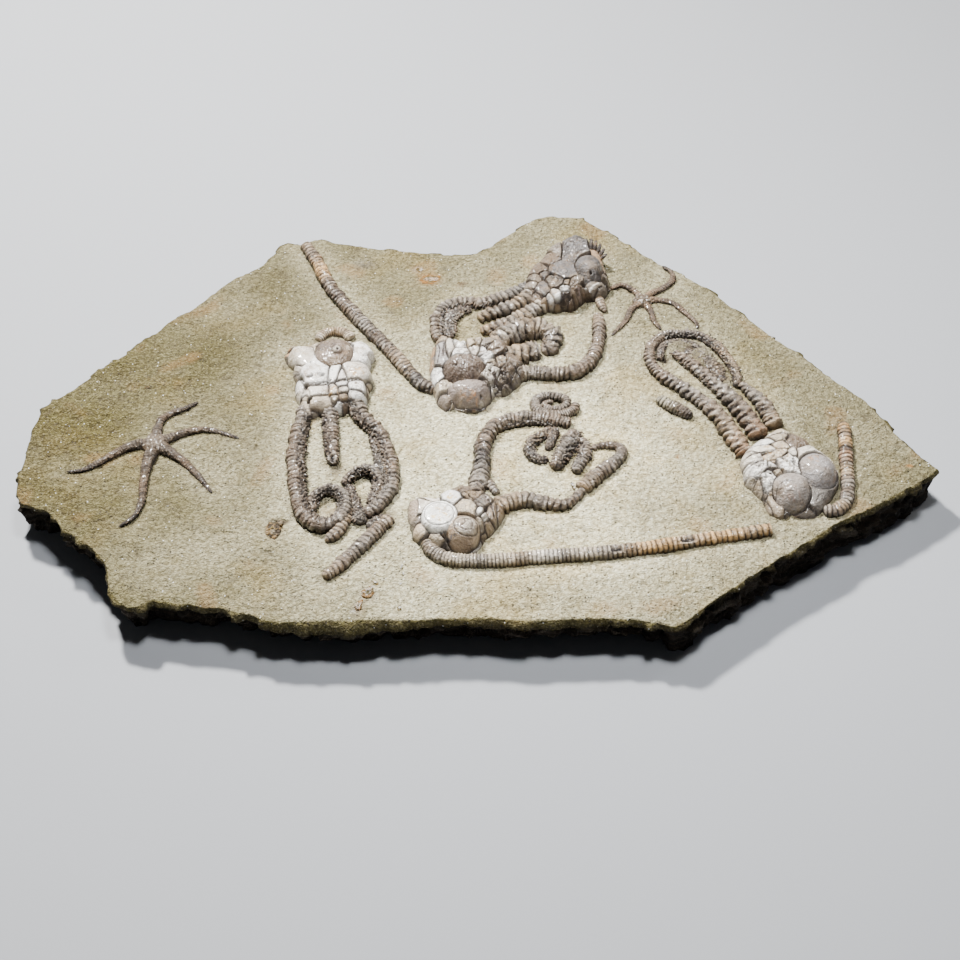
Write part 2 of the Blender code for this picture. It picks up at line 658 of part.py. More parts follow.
def lay_loose_fragments():
    """Broken lengths of stem that belong to none of the five crinoids."""
    brown = mineral("fragment_calcite", BROWN, 0.42)
    lay(
        "loose_stem_fragment", brown, runs,
        (((-63.5, -109), (-58, -103), (-51, -94), (-44, -84), (-37.5, -75)), (5, 6.5, 6.5, 6.5, 5.5)),
        pitch=STEM_PITCH,
    )
    lay(
        "ringed_fragment", brown, runs,
        (((80.5, 0), (88, -6.5), (95.5, -12.5)), (5, 6.5, 4.5)),
        pitch=STEM_PITCH,
    )


clear_scene()
pieces = new_collection("crinoid_fossil_slab")
cutters = new_collection("cutters")
fossil = bpy.data.objects.new("crinoid_fossil_slab", None)
pieces.objects.link(fossil)
cross_section = half_round()
laid = []

add_piece("slab", slab(), mineral("siltstone", SILTSTONE, 0.9))
lay_left_crinoid()
lay_centre_crinoid()
lay_top_crinoid()
lay_front_crinoid()
lay_right_crinoid()
lay_brittle_stars()
lay_loose_fragments()
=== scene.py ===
# %% [markdown]
# # A crinoid fossil slab
# A loose block of siltstone. Five crinoids, two brittle stars and two loose pieces of stem stand out of its
# face, all turned to calcite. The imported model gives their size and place, and is loaded as a fixed frame.
# Each of its pieces is then dressed with a finer one: a stem with every ring, an arm with its feathery side
# branches, a cup with its mosaic of plates, and a slab with a broken edge.

# %% Load the fixed frame
import math
import random

import bmesh
import bpy
import numpy as np
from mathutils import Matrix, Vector, kdtree, noise


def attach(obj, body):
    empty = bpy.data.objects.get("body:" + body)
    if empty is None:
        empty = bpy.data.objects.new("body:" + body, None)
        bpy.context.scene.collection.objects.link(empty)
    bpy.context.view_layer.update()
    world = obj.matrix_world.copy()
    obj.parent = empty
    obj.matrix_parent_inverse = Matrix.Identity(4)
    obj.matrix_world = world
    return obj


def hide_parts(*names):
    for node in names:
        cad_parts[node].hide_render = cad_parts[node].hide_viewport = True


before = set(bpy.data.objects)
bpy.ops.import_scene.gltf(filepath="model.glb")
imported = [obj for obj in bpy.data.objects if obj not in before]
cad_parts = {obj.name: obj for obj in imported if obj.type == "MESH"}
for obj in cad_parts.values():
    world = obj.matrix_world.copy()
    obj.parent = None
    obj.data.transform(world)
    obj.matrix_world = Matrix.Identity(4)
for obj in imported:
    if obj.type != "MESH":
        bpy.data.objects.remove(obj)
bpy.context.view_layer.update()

for startup in ("Cube", "Light", "Camera"):
    if startup in bpy.data.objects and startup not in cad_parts:
        bpy.data.objects.remove(bpy.data.objects[startup])

# %% [markdown]
# ## Plan units
# A fossil slab is easiest to draw flat, looking straight down on the bedding plane. All points are in
# millimetres on that plan, X to the right and Y to the back, with heights counted up from the face. One
# small function turns them into metres in the frame.

# %% Plan units
MM = 0.001
FACE = 20
PLAN_CENTRE = (-0.25, 3.5)


def placed(plan_x, plan_y, height):
    """Plan points in millimetres, and heights above the face, as points in metres."""
    return np.stack([
        (np.asarray(plan_x) - PLAN_CENTRE[0]) * MM,
        (np.asarray(plan_y) - PLAN_CENTRE[1]) * MM,
        (np.asarray(height) + FACE) * MM,
    ], axis=-1)


def uneven(points, size, seed=0):
    """Smooth noise from about -1 to 1 at each point in metres, with bumps of this size in millimetres."""
    scaled = np.asarray(points) / (size * MM) + seed
    return np.array([noise.noise(point) for point in scaled.tolist()])


def unit(values):
    """Values kept between 0 and 1."""
    return np.clip(values, 0, 1)


def smooth_step(low, high, value):
    """0 below the low end, 1 above the high end, and a soft rise between them."""
    share = unit((np.asarray(value, float) - low) / (high - low))
    return share * share * (3 - 2 * share)


def bell(off):
    """1 where off is 0, fading to nothing on both sides of it."""
    return np.exp(-(off**2))


print("plan centre", PLAN_CENTRE, "face at", FACE, "mm")

# %% [markdown]
# ## Colours of the mineral
# Calcite takes its colour from what seeped in while it grew: cream where it is clean, umber where iron and
# mud got in, rust along old cracks. Each tone of this palette is linear, as a shader wants it.

# %% Palette
WHITE = (0.92, 0.895, 0.84)
IVORY = (0.64, 0.58, 0.49)
CREAM = (0.48, 0.4, 0.29)
TAN = (0.285, 0.205, 0.125)
SAND = (0.31, 0.215, 0.115)
UMBER = (0.155, 0.11, 0.074)
GREY = (0.185, 0.155, 0.122)
LAVENDER = (0.102, 0.094, 0.091)
DARK = (0.028, 0.02, 0.016)
RUST = (0.42, 0.15, 0.05)
OCHRE = (0.5, 0.3, 0.12)
print("palette ready")

# %% [markdown]
# ## Finishes
# Real stone is never one colour, so every finish is built from the same few effects: blotches, speckles
# and grain. They could be copied into each material, but a shader node group is built once and then reused
# with other values. Groups give out masks and heights only. The shader stays in the material.

# %% Node helpers
def node(tree, kind, links=(), **settings):
    """A new node with its settings, and with (input, value or socket) pairs put on its inputs."""
    made = tree.nodes.new(kind)
    for name, value in settings.items():
        setattr(made, name, value)
    for name, value in links:
        if isinstance(value, bpy.types.NodeSocket):
            tree.links.new(value, made.inputs[name])
        else:
            made.inputs[name].default_value = value
    return made


def blend(tree, mask, under, over, mode="MIX"):
    """Two colours mixed by a mask."""
    made = node(tree, "ShaderNodeMix", data_type="RGBA", blend_type=mode)
    for place, value in ((0, mask), (6, under), (7, over)):
        if isinstance(value, bpy.types.NodeSocket):
            tree.links.new(value, made.inputs[place])
        else:
            made.inputs[place].default_value = value if place == 0 else (*value, 1)
    return made.outputs[2]


def maths(tree, operation, first, second):
    """One sum on two numbers or masks, such as MULTIPLY."""
    return node(tree, "ShaderNodeMath", operation=operation, links=((0, first), (1, second))).outputs[0]


def clouds(tree, size, detail=2, roughness=0.5, vector=None):
    """A noise texture in the object's own space, or along another vector."""
    vector = vector or node(tree, "ShaderNodeTexCoord").outputs["Object"]
    return node(tree, "ShaderNodeTexNoise", links=(
        ("Vector", vector), ("Scale", size), ("Detail", detail), ("Roughness", roughness))).outputs


def ramp(tree, value, low, high, start=0, end=1, **settings):
    """A value read between a low and a high end, as a number from start to end."""
    made = node(tree, "ShaderNodeMapRange", **settings, links=(
        ("Value", value), ("From Min", low), ("From Max", high), ("To Min", start), ("To Max", end)))
    return made.outputs["Result"]


def new_group(name, result, **inputs):
    """An empty shader group with float inputs and one float output. A function puts its result out."""
    tree = bpy.data.node_groups.new(name, "ShaderNodeTree")
    for title, value in inputs.items():
        title = title.replace("_", " ")
        tree.interface.new_socket(title, in_out="INPUT", socket_type="NodeSocketFloat").default_value = value
    tree.interface.new_socket(result, in_out="OUTPUT", socket_type="NodeSocketFloat")
    given, out = tree.nodes.new("NodeGroupInput"), tree.nodes.new("NodeGroupOutput")
    return tree, given.outputs, lambda socket: tree.links.new(socket, out.inputs[result])


def grouped(tree, group, **values):
    """A group placed in a material with its own values. It gives the group's first output."""
    made = node(tree, "ShaderNodeGroup", node_tree=group)
    for title, value in values.items():
        made.inputs[title.replace("_", " ")].default_value = value
    return made.outputs[0]


def attribute(tree, name, output="Fac"):
    """A value or colour that was painted on the mesh."""
    return node(tree, "ShaderNodeAttribute", attribute_name=name).outputs[output]


print("node helpers ready")

# %% [markdown]
# ### Blotches
# Slow changes of tone, from damp, iron and weathering. A noise texture gives clouds, and a narrow range
# mapped to black and white gives blotches with soft edges. Size is how many clouds fit in a metre.

# %% Blotch group
def make_blotches():
    tree, given, put_out = new_group("blotches", "Mask", Size=30, Low=0.4, High=0.6)
    noise_fac = clouds(tree, given["Size"], detail=5, roughness=0.6)["Fac"]
    put_out(ramp(tree, noise_fac, given["Low"], given["High"], interpolation_type="SMOOTHSTEP"))
    return tree


blotches = make_blotches()
print("group", blotches.name)

# %% [markdown]
# ### Speckles
# Siltstone is quartz and mica with dark grains between. Voronoi cells stand for the grains: each cell has
# its own random number, so a threshold picks a share of them, and the distance to the cell's middle gives
# each a round edge. The same group makes the dark grains, the pale ones and the few that sparkle.

# %% Speckle group
def make_speckles():
    tree, given, put_out = new_group("speckles", "Mask", Size=900, Share=0.2, Radius=0.35)
    space = node(tree, "ShaderNodeTexCoord")
    cells = node(tree, "ShaderNodeTexVoronoi", links=(
        ("Vector", space.outputs["Object"]), ("Scale", given["Size"])))
    lot = node(tree, "ShaderNodeSeparateColor", links=(("Color", cells.outputs["Color"]),))
    picked = maths(tree, "LESS_THAN", lot.outputs["Red"], given["Share"])
    inner = maths(tree, "MULTIPLY", given["Radius"], 0.5)
    disc = ramp(tree, cells.outputs["Distance"], inner, given["Radius"], start=1, end=0)
    put_out(maths(tree, "MULTIPLY", picked, disc))
    return tree


speckles = make_speckles()
print("group", speckles.name)

# %% [markdown]
# ### Grain
# The feel of the surface: a fine noise for the grains and a coarser one for small dents, added into one
# height.

# %% Grain group
def make_grain():
    tree, given, put_out = new_group("grain", "Height", Fine_Size=1600, Coarse_Size=260, Coarse_Share=0.5)
    fine, coarse = (clouds(tree, given[title], detail=3)["Fac"] for title in ("Fine Size", "Coarse Size"))
    put_out(maths(tree, "ADD", fine, maths(tree, "MULTIPLY", coarse, given["Coarse Share"])))
    return tree


grain = make_grain()
print("group", grain.name)

# %% [markdown]
# ### Crackle
# The plates of a cup are crazed like old glaze. The edges between Voronoi cells make such a net of thin
# lines, once a little noise has bent them, and a slow noise keeps the net to some parts only.

# %% Crackle group
def make_crackle():
    tree, given, put_out = new_group("crackle", "Mask", Size=300, Width=0.06)
    space = node(tree, "ShaderNodeTexCoord").outputs["Object"]
    bends = node(tree, "ShaderNodeVectorMath", operation="SCALE", links=(
        (0, clouds(tree, 420)["Color"]), ("Scale", 0.0022)))
    bent = node(tree, "ShaderNodeVectorMath", operation="ADD", links=(
        (0, space), (1, bends.outputs["Vector"])))
    cells = node(tree, "ShaderNodeTexVoronoi", feature="DISTANCE_TO_EDGE", links=(
        ("Vector", bent.outputs["Vector"]), ("Scale", given["Size"])))
    line = ramp(tree, cells.outputs["Distance"], 0, given["Width"], start=1, end=0)
    some = ramp(tree, clouds(tree, 130)["Fac"], 0.42, 0.58)
    put_out(maths(tree, "MULTIPLY", line, some))
    return tree


crackle = make_crackle()
print("group", crackle.name)

# %% [markdown]
# ### Layers of tone
# Both finishes are built up like glazes on a pot: blotches of one size and colour, laid thinly over what is
# there already. So one small function makes a layer, and each finish is a list of layers.

# %% Layers and bump
def layered(tree, tone, size, low, high, share, colour, mode="MULTIPLY"):
    """The tone under one layer of blotches. MULTIPLY stains it, and MIX covers it."""
    mask = maths(tree, "MULTIPLY", grouped(tree, blotches, Size=size, Low=low, High=high), share)
    return blend(tree, mask, tone, colour, mode=mode)


def new_finish(name):
    material = bpy.data.materials.new(name)
    material.use_nodes = True
    return material, material.node_tree, material.node_tree.nodes["Principled BSDF"]


def add_bump(tree, shader, fine, coarse, strength, distance):
    """The grain as a bump. Its coarse part counts one and a half times."""
    bump = node(tree, "ShaderNodeBump", links=(
        ("Height", grouped(tree, grain, Fine_Size=fine, Coarse_Size=coarse, Coarse_Share=1.5)),
        ("Strength", strength), ("Distance", distance)))
    tree.links.new(bump.outputs["Normal"], shader.inputs["Normal"])


print("layers ready")

# %% [markdown]
# ### Siltstone
# The block is khaki, with olive stains, grey patches, dark grains and a few sparkles of mica. The broken
# sides are browner and nearly black, as painted shade, with thin streaks, so their colour is mixed in by a
# mask that the mesh carries. Four more masks bring pale dust with a painted pool of light, rust spots,
# pale crystals, and the dirt in cracks with painted shade round the fossils and in pits.

# %% Siltstone finish
# Each layer: how many blotches fit in a metre, both ends of the mask, its share, colour and mode.
KHAKI = (0.115, 0.097, 0.03)
PALE_DUST_AND_LIGHT = (0.76, 0.71, 0.5)
BEDROCK_LAYERS = (
    (9, 0.42, 0.62, 1, (0.087, 0.072, 0.019), "MIX"),
    (23, 0.5, 0.72, 1, (0.158, 0.138, 0.064), "MIX"),
    (55, 0.6, 0.78, 1, (0.15, 0.102, 0.026), "MIX"),
    (160, 0.4, 0.7, 1, (0.094, 0.077, 0.026), "MIX"),
)
STAIN_LAYERS = (
    (26, 0.5, 0.68, 0.6, (0.98, 0.86, 0.62)), (44, 0.52, 0.7, 0.8, (0.78, 0.77, 0.74)),
    (120, 0.5, 0.68, 0.6, (0.74, 0.7, 0.58)), (640, 0.4, 0.58, 0.74, (0.46, 0.42, 0.34)),
    (300, 0.5, 0.66, 0.5, (0.62, 0.59, 0.52)), (1000, 0.52, 0.62, 0.22, (0.52, 0.46, 0.26), "MIX"),
)


def shaded_side_streaks(tree):
    """The sides' colour, nearly black as painted shade: thin level streaks, a little tilted, as the beds lie.
    """
    space = node(tree, "ShaderNodeTexCoord")
    stretched = node(tree, "ShaderNodeMapping", links=(
        ("Vector", space.outputs["Object"]), ("Scale", (30, 30, 420)), ("Rotation", (0.09, 0.05, 0))))
    layers = clouds(tree, 1, detail=4, roughness=0.65, vector=stretched.outputs["Vector"])
    streaks = ramp(tree, layers["Fac"], 0.4, 0.62)
    return blend(tree, streaks, (0.014, 0.011, 0.008), (0.05, 0.038, 0.025))


def make_siltstone():
    material, tree, shader = new_finish("siltstone_relief")
    tone = KHAKI
    for layer in BEDROCK_LAYERS:
        tone = layered(tree, tone, *layer)
    # Pale dust, with a painted pool of light over the middle of the face.
    tone = blend(tree, attribute(tree, "dust_and_light_pool"), tone, PALE_DUST_AND_LIGHT)
    for layer in STAIN_LAYERS:
        tone = layered(tree, tone, *layer)
    tone = layered(tree, tone, 430, 0.38, 0.5, attribute(tree, "pale"), (0.66, 0.63, 0.58), "MIX")
    tone = layered(tree, tone, 360, 0.26, 0.46, attribute(tree, "rust"), (0.29, 0.135, 0.036), "MIX")
    dark_grains = grouped(tree, speckles, Size=820, Share=0.13, Radius=0.46)
    tone = blend(tree, maths(tree, "MULTIPLY", dark_grains, 0.95), tone, (0.045, 0.037, 0.026))
    flakes = grouped(tree, speckles, Size=1100, Share=0.016, Radius=0.38)
    tone = blend(tree, flakes, tone, (0.85, 0.85, 0.8))
    # The broken sides are painted nearly black: painted shade.
    tone = blend(tree, attribute(tree, "side"), tone, shaded_side_streaks(tree))
    # Dirt in the cracks, and painted shade round the fossils and in the pits.
    tone = blend(tree, attribute(tree, "groove"), tone, (0.06, 0.045, 0.03))
    tree.links.new(tone, shader.inputs["Base Color"])
    tree.links.new(ramp(tree, flakes, 0, 1, start=0.88, end=0.25), shader.inputs["Roughness"])
    shader.inputs["Specular IOR Level"].default_value = 0.22
    add_bump(tree, shader, fine=1150, coarse=340, strength=1, distance=0.0019)
    return material


finishes = {"siltstone": make_siltstone()}
print("finish", finishes["siltstone"].name)

# %% [markdown]
# ### Calcite
# The fossils' mineral is smoother than the rock. Its colour comes from the mesh, as a tint painted plate by
# plate and ring by ring, so that one recipe serves cream cups and umber arms. Blotches and grey veins vary
# it, and fine pale specks are painted glints. The groove mask darkens grooves and hollows with dirt and
# painted shade, and dulls them. Only some patches are polished: a mask of their gleam lowers the roughness
# and lays a clear coat on them.

# %% Calcite finish
GLEAM = 0.6


def make_calcite(slot, roughness=0.13, mottle=0.5, dirt_and_shade=(0.014, 0.01, 0.008), veins=0.4, relief=0.0009,
                 crazed=0, coat=0.02, gloss=0.36):
    """A calcite finish. Mottle, veins and crazed say how much of each layer shows."""
    material, tree, shader = new_finish(slot + "_relief")
    tone = attribute(tree, "tint", "Color")
    tone = layered(tree, tone, 210, 0.36, 0.66, mottle, (0.52, 0.47, 0.41))
    tone = layered(tree, tone, 800, 0.5, 0.74, veins, (0.4, 0.365, 0.315))
    # Painted glints: fine pale specks.
    tone = layered(tree, tone, 1100, 0.56, 0.72, 0.08, (0.8, 0.76, 0.7), "MIX")
    tone = layered(tree, tone, 95, 0.6, 0.74, 0.4, (0.34, 0.2, 0.1), "MIX")
    net = maths(tree, "MULTIPLY", grouped(tree, crackle, Size=330, Width=0.075), crazed)
    tone = blend(tree, net, tone, (0.16, 0.115, 0.08))
    # The groove mask darkens grooves and hollows with dirt and painted shade.
    tone = blend(tree, attribute(tree, "groove"), tone, dirt_and_shade)
    tree.links.new(tone, shader.inputs["Base Color"])
    gleam = grouped(tree, blotches, Size=620, Low=0.51, High=0.59)
    dullness = maths(tree, "ADD", attribute(tree, "groove"), maths(tree, "MULTIPLY", gleam, -GLEAM))
    dull = ramp(tree, dullness, -GLEAM, GLEAM, start=roughness, end=0.85)
    tree.links.new(dull, shader.inputs["Roughness"])
    shine = maths(tree, "ADD", maths(tree, "MULTIPLY", gleam, 0.9 - coat), coat)
    tree.links.new(shine, shader.inputs["Coat Weight"])
    shader.inputs["Coat Roughness"].default_value = 0.1
    shader.inputs["Specular IOR Level"].default_value = gloss
    add_bump(tree, shader, fine=1250, coarse=480, strength=0.75, distance=relief)
    return material


for part in ("left_stub", "left_arm", "centre_arm", "top_stub", "top_arm", "front_stem", "front_arm",
             "right_stem", "right_arm", "fragment"):
    finishes[part + "_calcite"] = make_calcite(part + "_calcite")
CUP_LOOK = dict(roughness=0.17, mottle=0.34, dirt_and_shade=(0.024, 0.016, 0.011), veins=0.36, relief=0.0008,
                crazed=0.7, coat=0.35, gloss=0.45)
for part in ("left_cup", "centre_cup", "front_cup", "right_cup"):
    finishes[part + "_calcite"] = make_calcite(part + "_calcite", **CUP_LOOK)
CLAY_LOOK = dict(roughness=0.34, mottle=0.8, coat=0.04, gloss=0.3)
finishes["top_cup_calcite"] = make_calcite("top_cup_calcite", **{**CUP_LOOK, **CLAY_LOOK})
finishes["star_calcite"] = make_calcite("star_calcite", roughness=0.36, relief=0.0007, coat=0, gloss=0.28)
print(len(finishes), "finishes")

# %% [markdown]
# ## Tools for every piece
# Each fossil starts as a plain mesh from one operator, then its points are moved, as a sculptor moves clay.
# Two things are painted on the points: a tint, and how deep in a groove they lie. These helpers keep a
# finished mesh, tied to the frame and standing for the node it replaces.

# %% Keeping a piece
WELD = 0.000002


def new_mesh():
    """An empty bmesh with layers for the tint and the grooves."""
    bm = bmesh.new()
    bm.verts.layers.float_color.new("tint")
    bm.verts.layers.float.new("groove")
    return bm


def move_and_paint(bm, verts, places, tints, grooves):
    """Puts the points in place and paints them."""
    tint_layer = bm.verts.layers.float_color["tint"]
    groove_layer = bm.verts.layers.float["groove"]
    for vert, place, tint, groove in zip(verts, places.tolist(), tints.tolist(), grooves.tolist()):
        vert.co = place
        vert[tint_layer] = (*tint, 1)
        vert[groove_layer] = groove


def mesh_from(name, bm, material):
    mesh = bpy.data.meshes.new(name)
    bm.to_mesh(mesh)
    bm.free()
    mesh.materials.append(material)
    return mesh


def put_in_scene(name, data):
    thing = bpy.data.objects.new(name, data)
    bpy.context.scene.collection.objects.link(thing)
    return thing


def keep_piece(name, bm, cad_node, slot):
    """Puts a finished piece in the scene, smooth, with its faces outward and its finish on."""
    bmesh.ops.recalc_face_normals(bm, faces=bm.faces)
    mesh = mesh_from(name, bm, finishes[slot])
    mesh.shade_smooth()
    piece = put_in_scene(name, mesh)
    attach(piece, "root")
    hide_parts(cad_node)
    print(name, "-", len(mesh.polygons), "faces")


def painted(tint, colour, share):
    """The tint of each point with this share of a colour over it."""
    return tint * (1 - share[:, None]) + np.array(colour) * share[:, None]


print("helpers ready")


# %% [markdown]
# ## Routes
# A stem or an arm lies along a route, which was bent by the sea floor before it turned to stone. A few
# points say where it goes. A smooth curve through them gives even stations, each with its heading, so that
# the rings come out the same width in bends and straights.

# %% Routes
def traced(route, step):
    """Even stations on a smooth curve through the route: places, headings and distances, in millimetres."""
    knots = np.array(route, float)
    knots = np.vstack([2 * knots[0] - knots[1], knots, 2 * knots[-1] - knots[-2]])
    share = np.linspace(0, 1, 24, endpoint=False)[:, None]
    bends = [
        b + (c - a) * share / 2
        + (2 * a - 5 * b + 4 * c - d) * share**2 / 2 + (3 * b - a - 3 * c + d) * share**3 / 2
        for a, b, c, d in zip(knots, knots[1:], knots[2:], knots[3:])
    ]
    fine = np.vstack([*bends, knots[-2:-1]])
    reached = np.concatenate([[0], np.cumsum(np.linalg.norm(np.diff(fine, axis=0), axis=1))])
    stations = np.linspace(0, reached[-1], max(10, round(reached[-1] / step)) + 1)
    places = np.stack([np.interp(stations, reached, fine[:, axis]) for axis in (0, 1)], axis=1)
    headings = np.gradient(places, axis=0)
    headings /= np.linalg.norm(headings, axis=1, keepdims=True)
    return places, headings, stations


def spread(values, share):
    """Evenly spread values, read at each share of the way. It takes numbers or colours."""
    table = np.atleast_1d(np.array(values, float))
    if len(table) == 1:
        table = np.repeat(table, 2, axis=0)
    knots = np.linspace(0, 1, len(table))
    if table.ndim == 1:
        return np.interp(share, knots, table)
    return np.stack([np.interp(share, knots, table[:, channel]) for channel in range(table.shape[1])], axis=1)


footprints = []
print("routes ready")

# %% [markdown]
# ## A ringed run
# A crinoid's stem is a stack of discs, each a single crystal, and its arms are built of such plates too.
# The run starts as a flat grid, is rolled into a tube that is half sunk in the rock, and is welded along
# the seam. The relief is one number per point, worked out from how far along the stack it lies. Seven forms
# share it:
# - stem: even discs with narrow grooves;
# - arm: slanting discs outside, and small grains inside, where the side branches sat;
# - saddle: broad discs whose edges are bent like a saddle;
# - beaded: swollen knobs;
# - zigzag: two rows of plates that interlock along the top;
# - star: flat scales of a brittle star;
# - loose: slanting discs that came apart a little.

# %% Relief of the rings
SIDES = 26
STEP = 0.36
# For each form: slant of the rings, how square their crests are, the depth and width of the grooves, how
# far the rings sway, how much of them is worn away (less is more), the share of grit, and how far the rings
# differ in height and in width.
RING_FORMS = {
    "stem": (0, 4, 0.16, 0.26, 0.1, -0.95, 0.15, 0.05, 0.15),
    "arm": (0.26, 4, 0.27, 0.24, 0.4, -0.35, 0.65, 0.12, 0.55),
    "saddle": (0.4, 5, 0.28, 0.22, 0.5, -0.95, 0.1, 0.12, 0.55),
    "beaded": (0.12, 2, 0.34, 0.24, 0.36, -0.65, 0.4, 0.12, 0.55),
    "zigzag": (0.42, 4, 0.21, 0.26, 0.2, -0.75, 0.3, 0.12, 0.8),
    "star": (0, 2, 0.1, 0.3, 0.3, -0.2, 0.8, 0.06, 0.55),
    "loose": (0.22, 4, 0.26, 0.26, 0.3, -0.65, 0.45, 0.05, 0.55),
}


def grooves_of(shifted, wide):
    """How far each point lies from its ring's crest, and how deep in the groove between two rings."""
    across = np.abs(2 * (shifted % 1) - 1)
    return across, bell((1 - across) / wide)


def ring_relief(form, phase, angle, rows, rough, fine, sway, patch):
    """Relief as a share of the radius, groove from 0 to 1, shade, crest, and how clear the rings are."""
    lean, power, depth, wide, swing, low, _, differ, _ = RING_FORMS[form]
    flank = np.sin(angle)
    bent = phase + swing * sway * flank + 0.17 * rough + 0.07 * fine
    clear = smooth_step(low, low + 0.55, patch + 0.35 * fine)
    if form == "zigzag":
        near = smooth_step(-0.45, 0.35, flank)
        left_across, left_groove = grooves_of(bent - lean * flank, wide * (0.55 + 1.2 * near))
        right_across, right_groove = grooves_of(bent + 0.5 + lean * flank, wide * (1.75 - 1.2 * near))
        across = left_across * near + right_across * (1 - near)
        groove = np.maximum(0.4 * left_groove * near, right_groove * (1 - near))
        relief = -1.15 * depth * groove - 0.05 * right_across * (1 - near)
        ring = np.floor(bent - lean * flank).astype(int) % len(rows)
    else:
        shifted = bent + lean * np.abs(flank)
        across, groove = grooves_of(shifted, wide)
        relief = -depth * across**power
        ring = np.floor(shifted).astype(int) % len(rows)
    relief = relief * (0.25 + 0.75 * clear) + differ * rows[ring, 0]
    return relief, groove * (0.12 + 0.88 * clear), rows[ring, 1], 1 - across, clear


def grainy(places, size, seed):
    """Small rounded grains: high in the middle of each and low between them."""
    scaled = (places / (size * MM) + seed).tolist()
    return np.array([1 - min(1, noise.voronoi(point)[0][0] * 1.55) for point in scaled])


def blocky(places, size, seed):
    """One random number from 0 to 1 for each block of a broken rock."""
    scaled = (places / (size * MM) + seed).tolist()
    return np.array([noise.cell(noise.voronoi(point)[1][0]) for point in scaled])


print("relief ready for", ", ".join(RING_FORMS))

# %% [markdown]
# One function rolls the tube. It works in arrays, because a long arm has over ten thousand points. First
# come each point's station and angle round the tube, then the relief, then what happened to the fossil
# later: grit, the grainy flank, folds, pits, wear and broken discs. Last comes the tint, with painted
# highlights on the crests and painted shade in the hollows and towards the foot.

# %% A ringed run
RINGS = 400


def close_ends(stations, ends):
    """A share of the width at each station, which rounds off both ends."""
    closing = np.ones(len(stations))
    for distance, length in ((stations, ends[0]), (stations[-1] - stations, ends[1])):
        closing *= np.sqrt(unit(1 - unit(1 - distance / length) ** 2))
    return closing


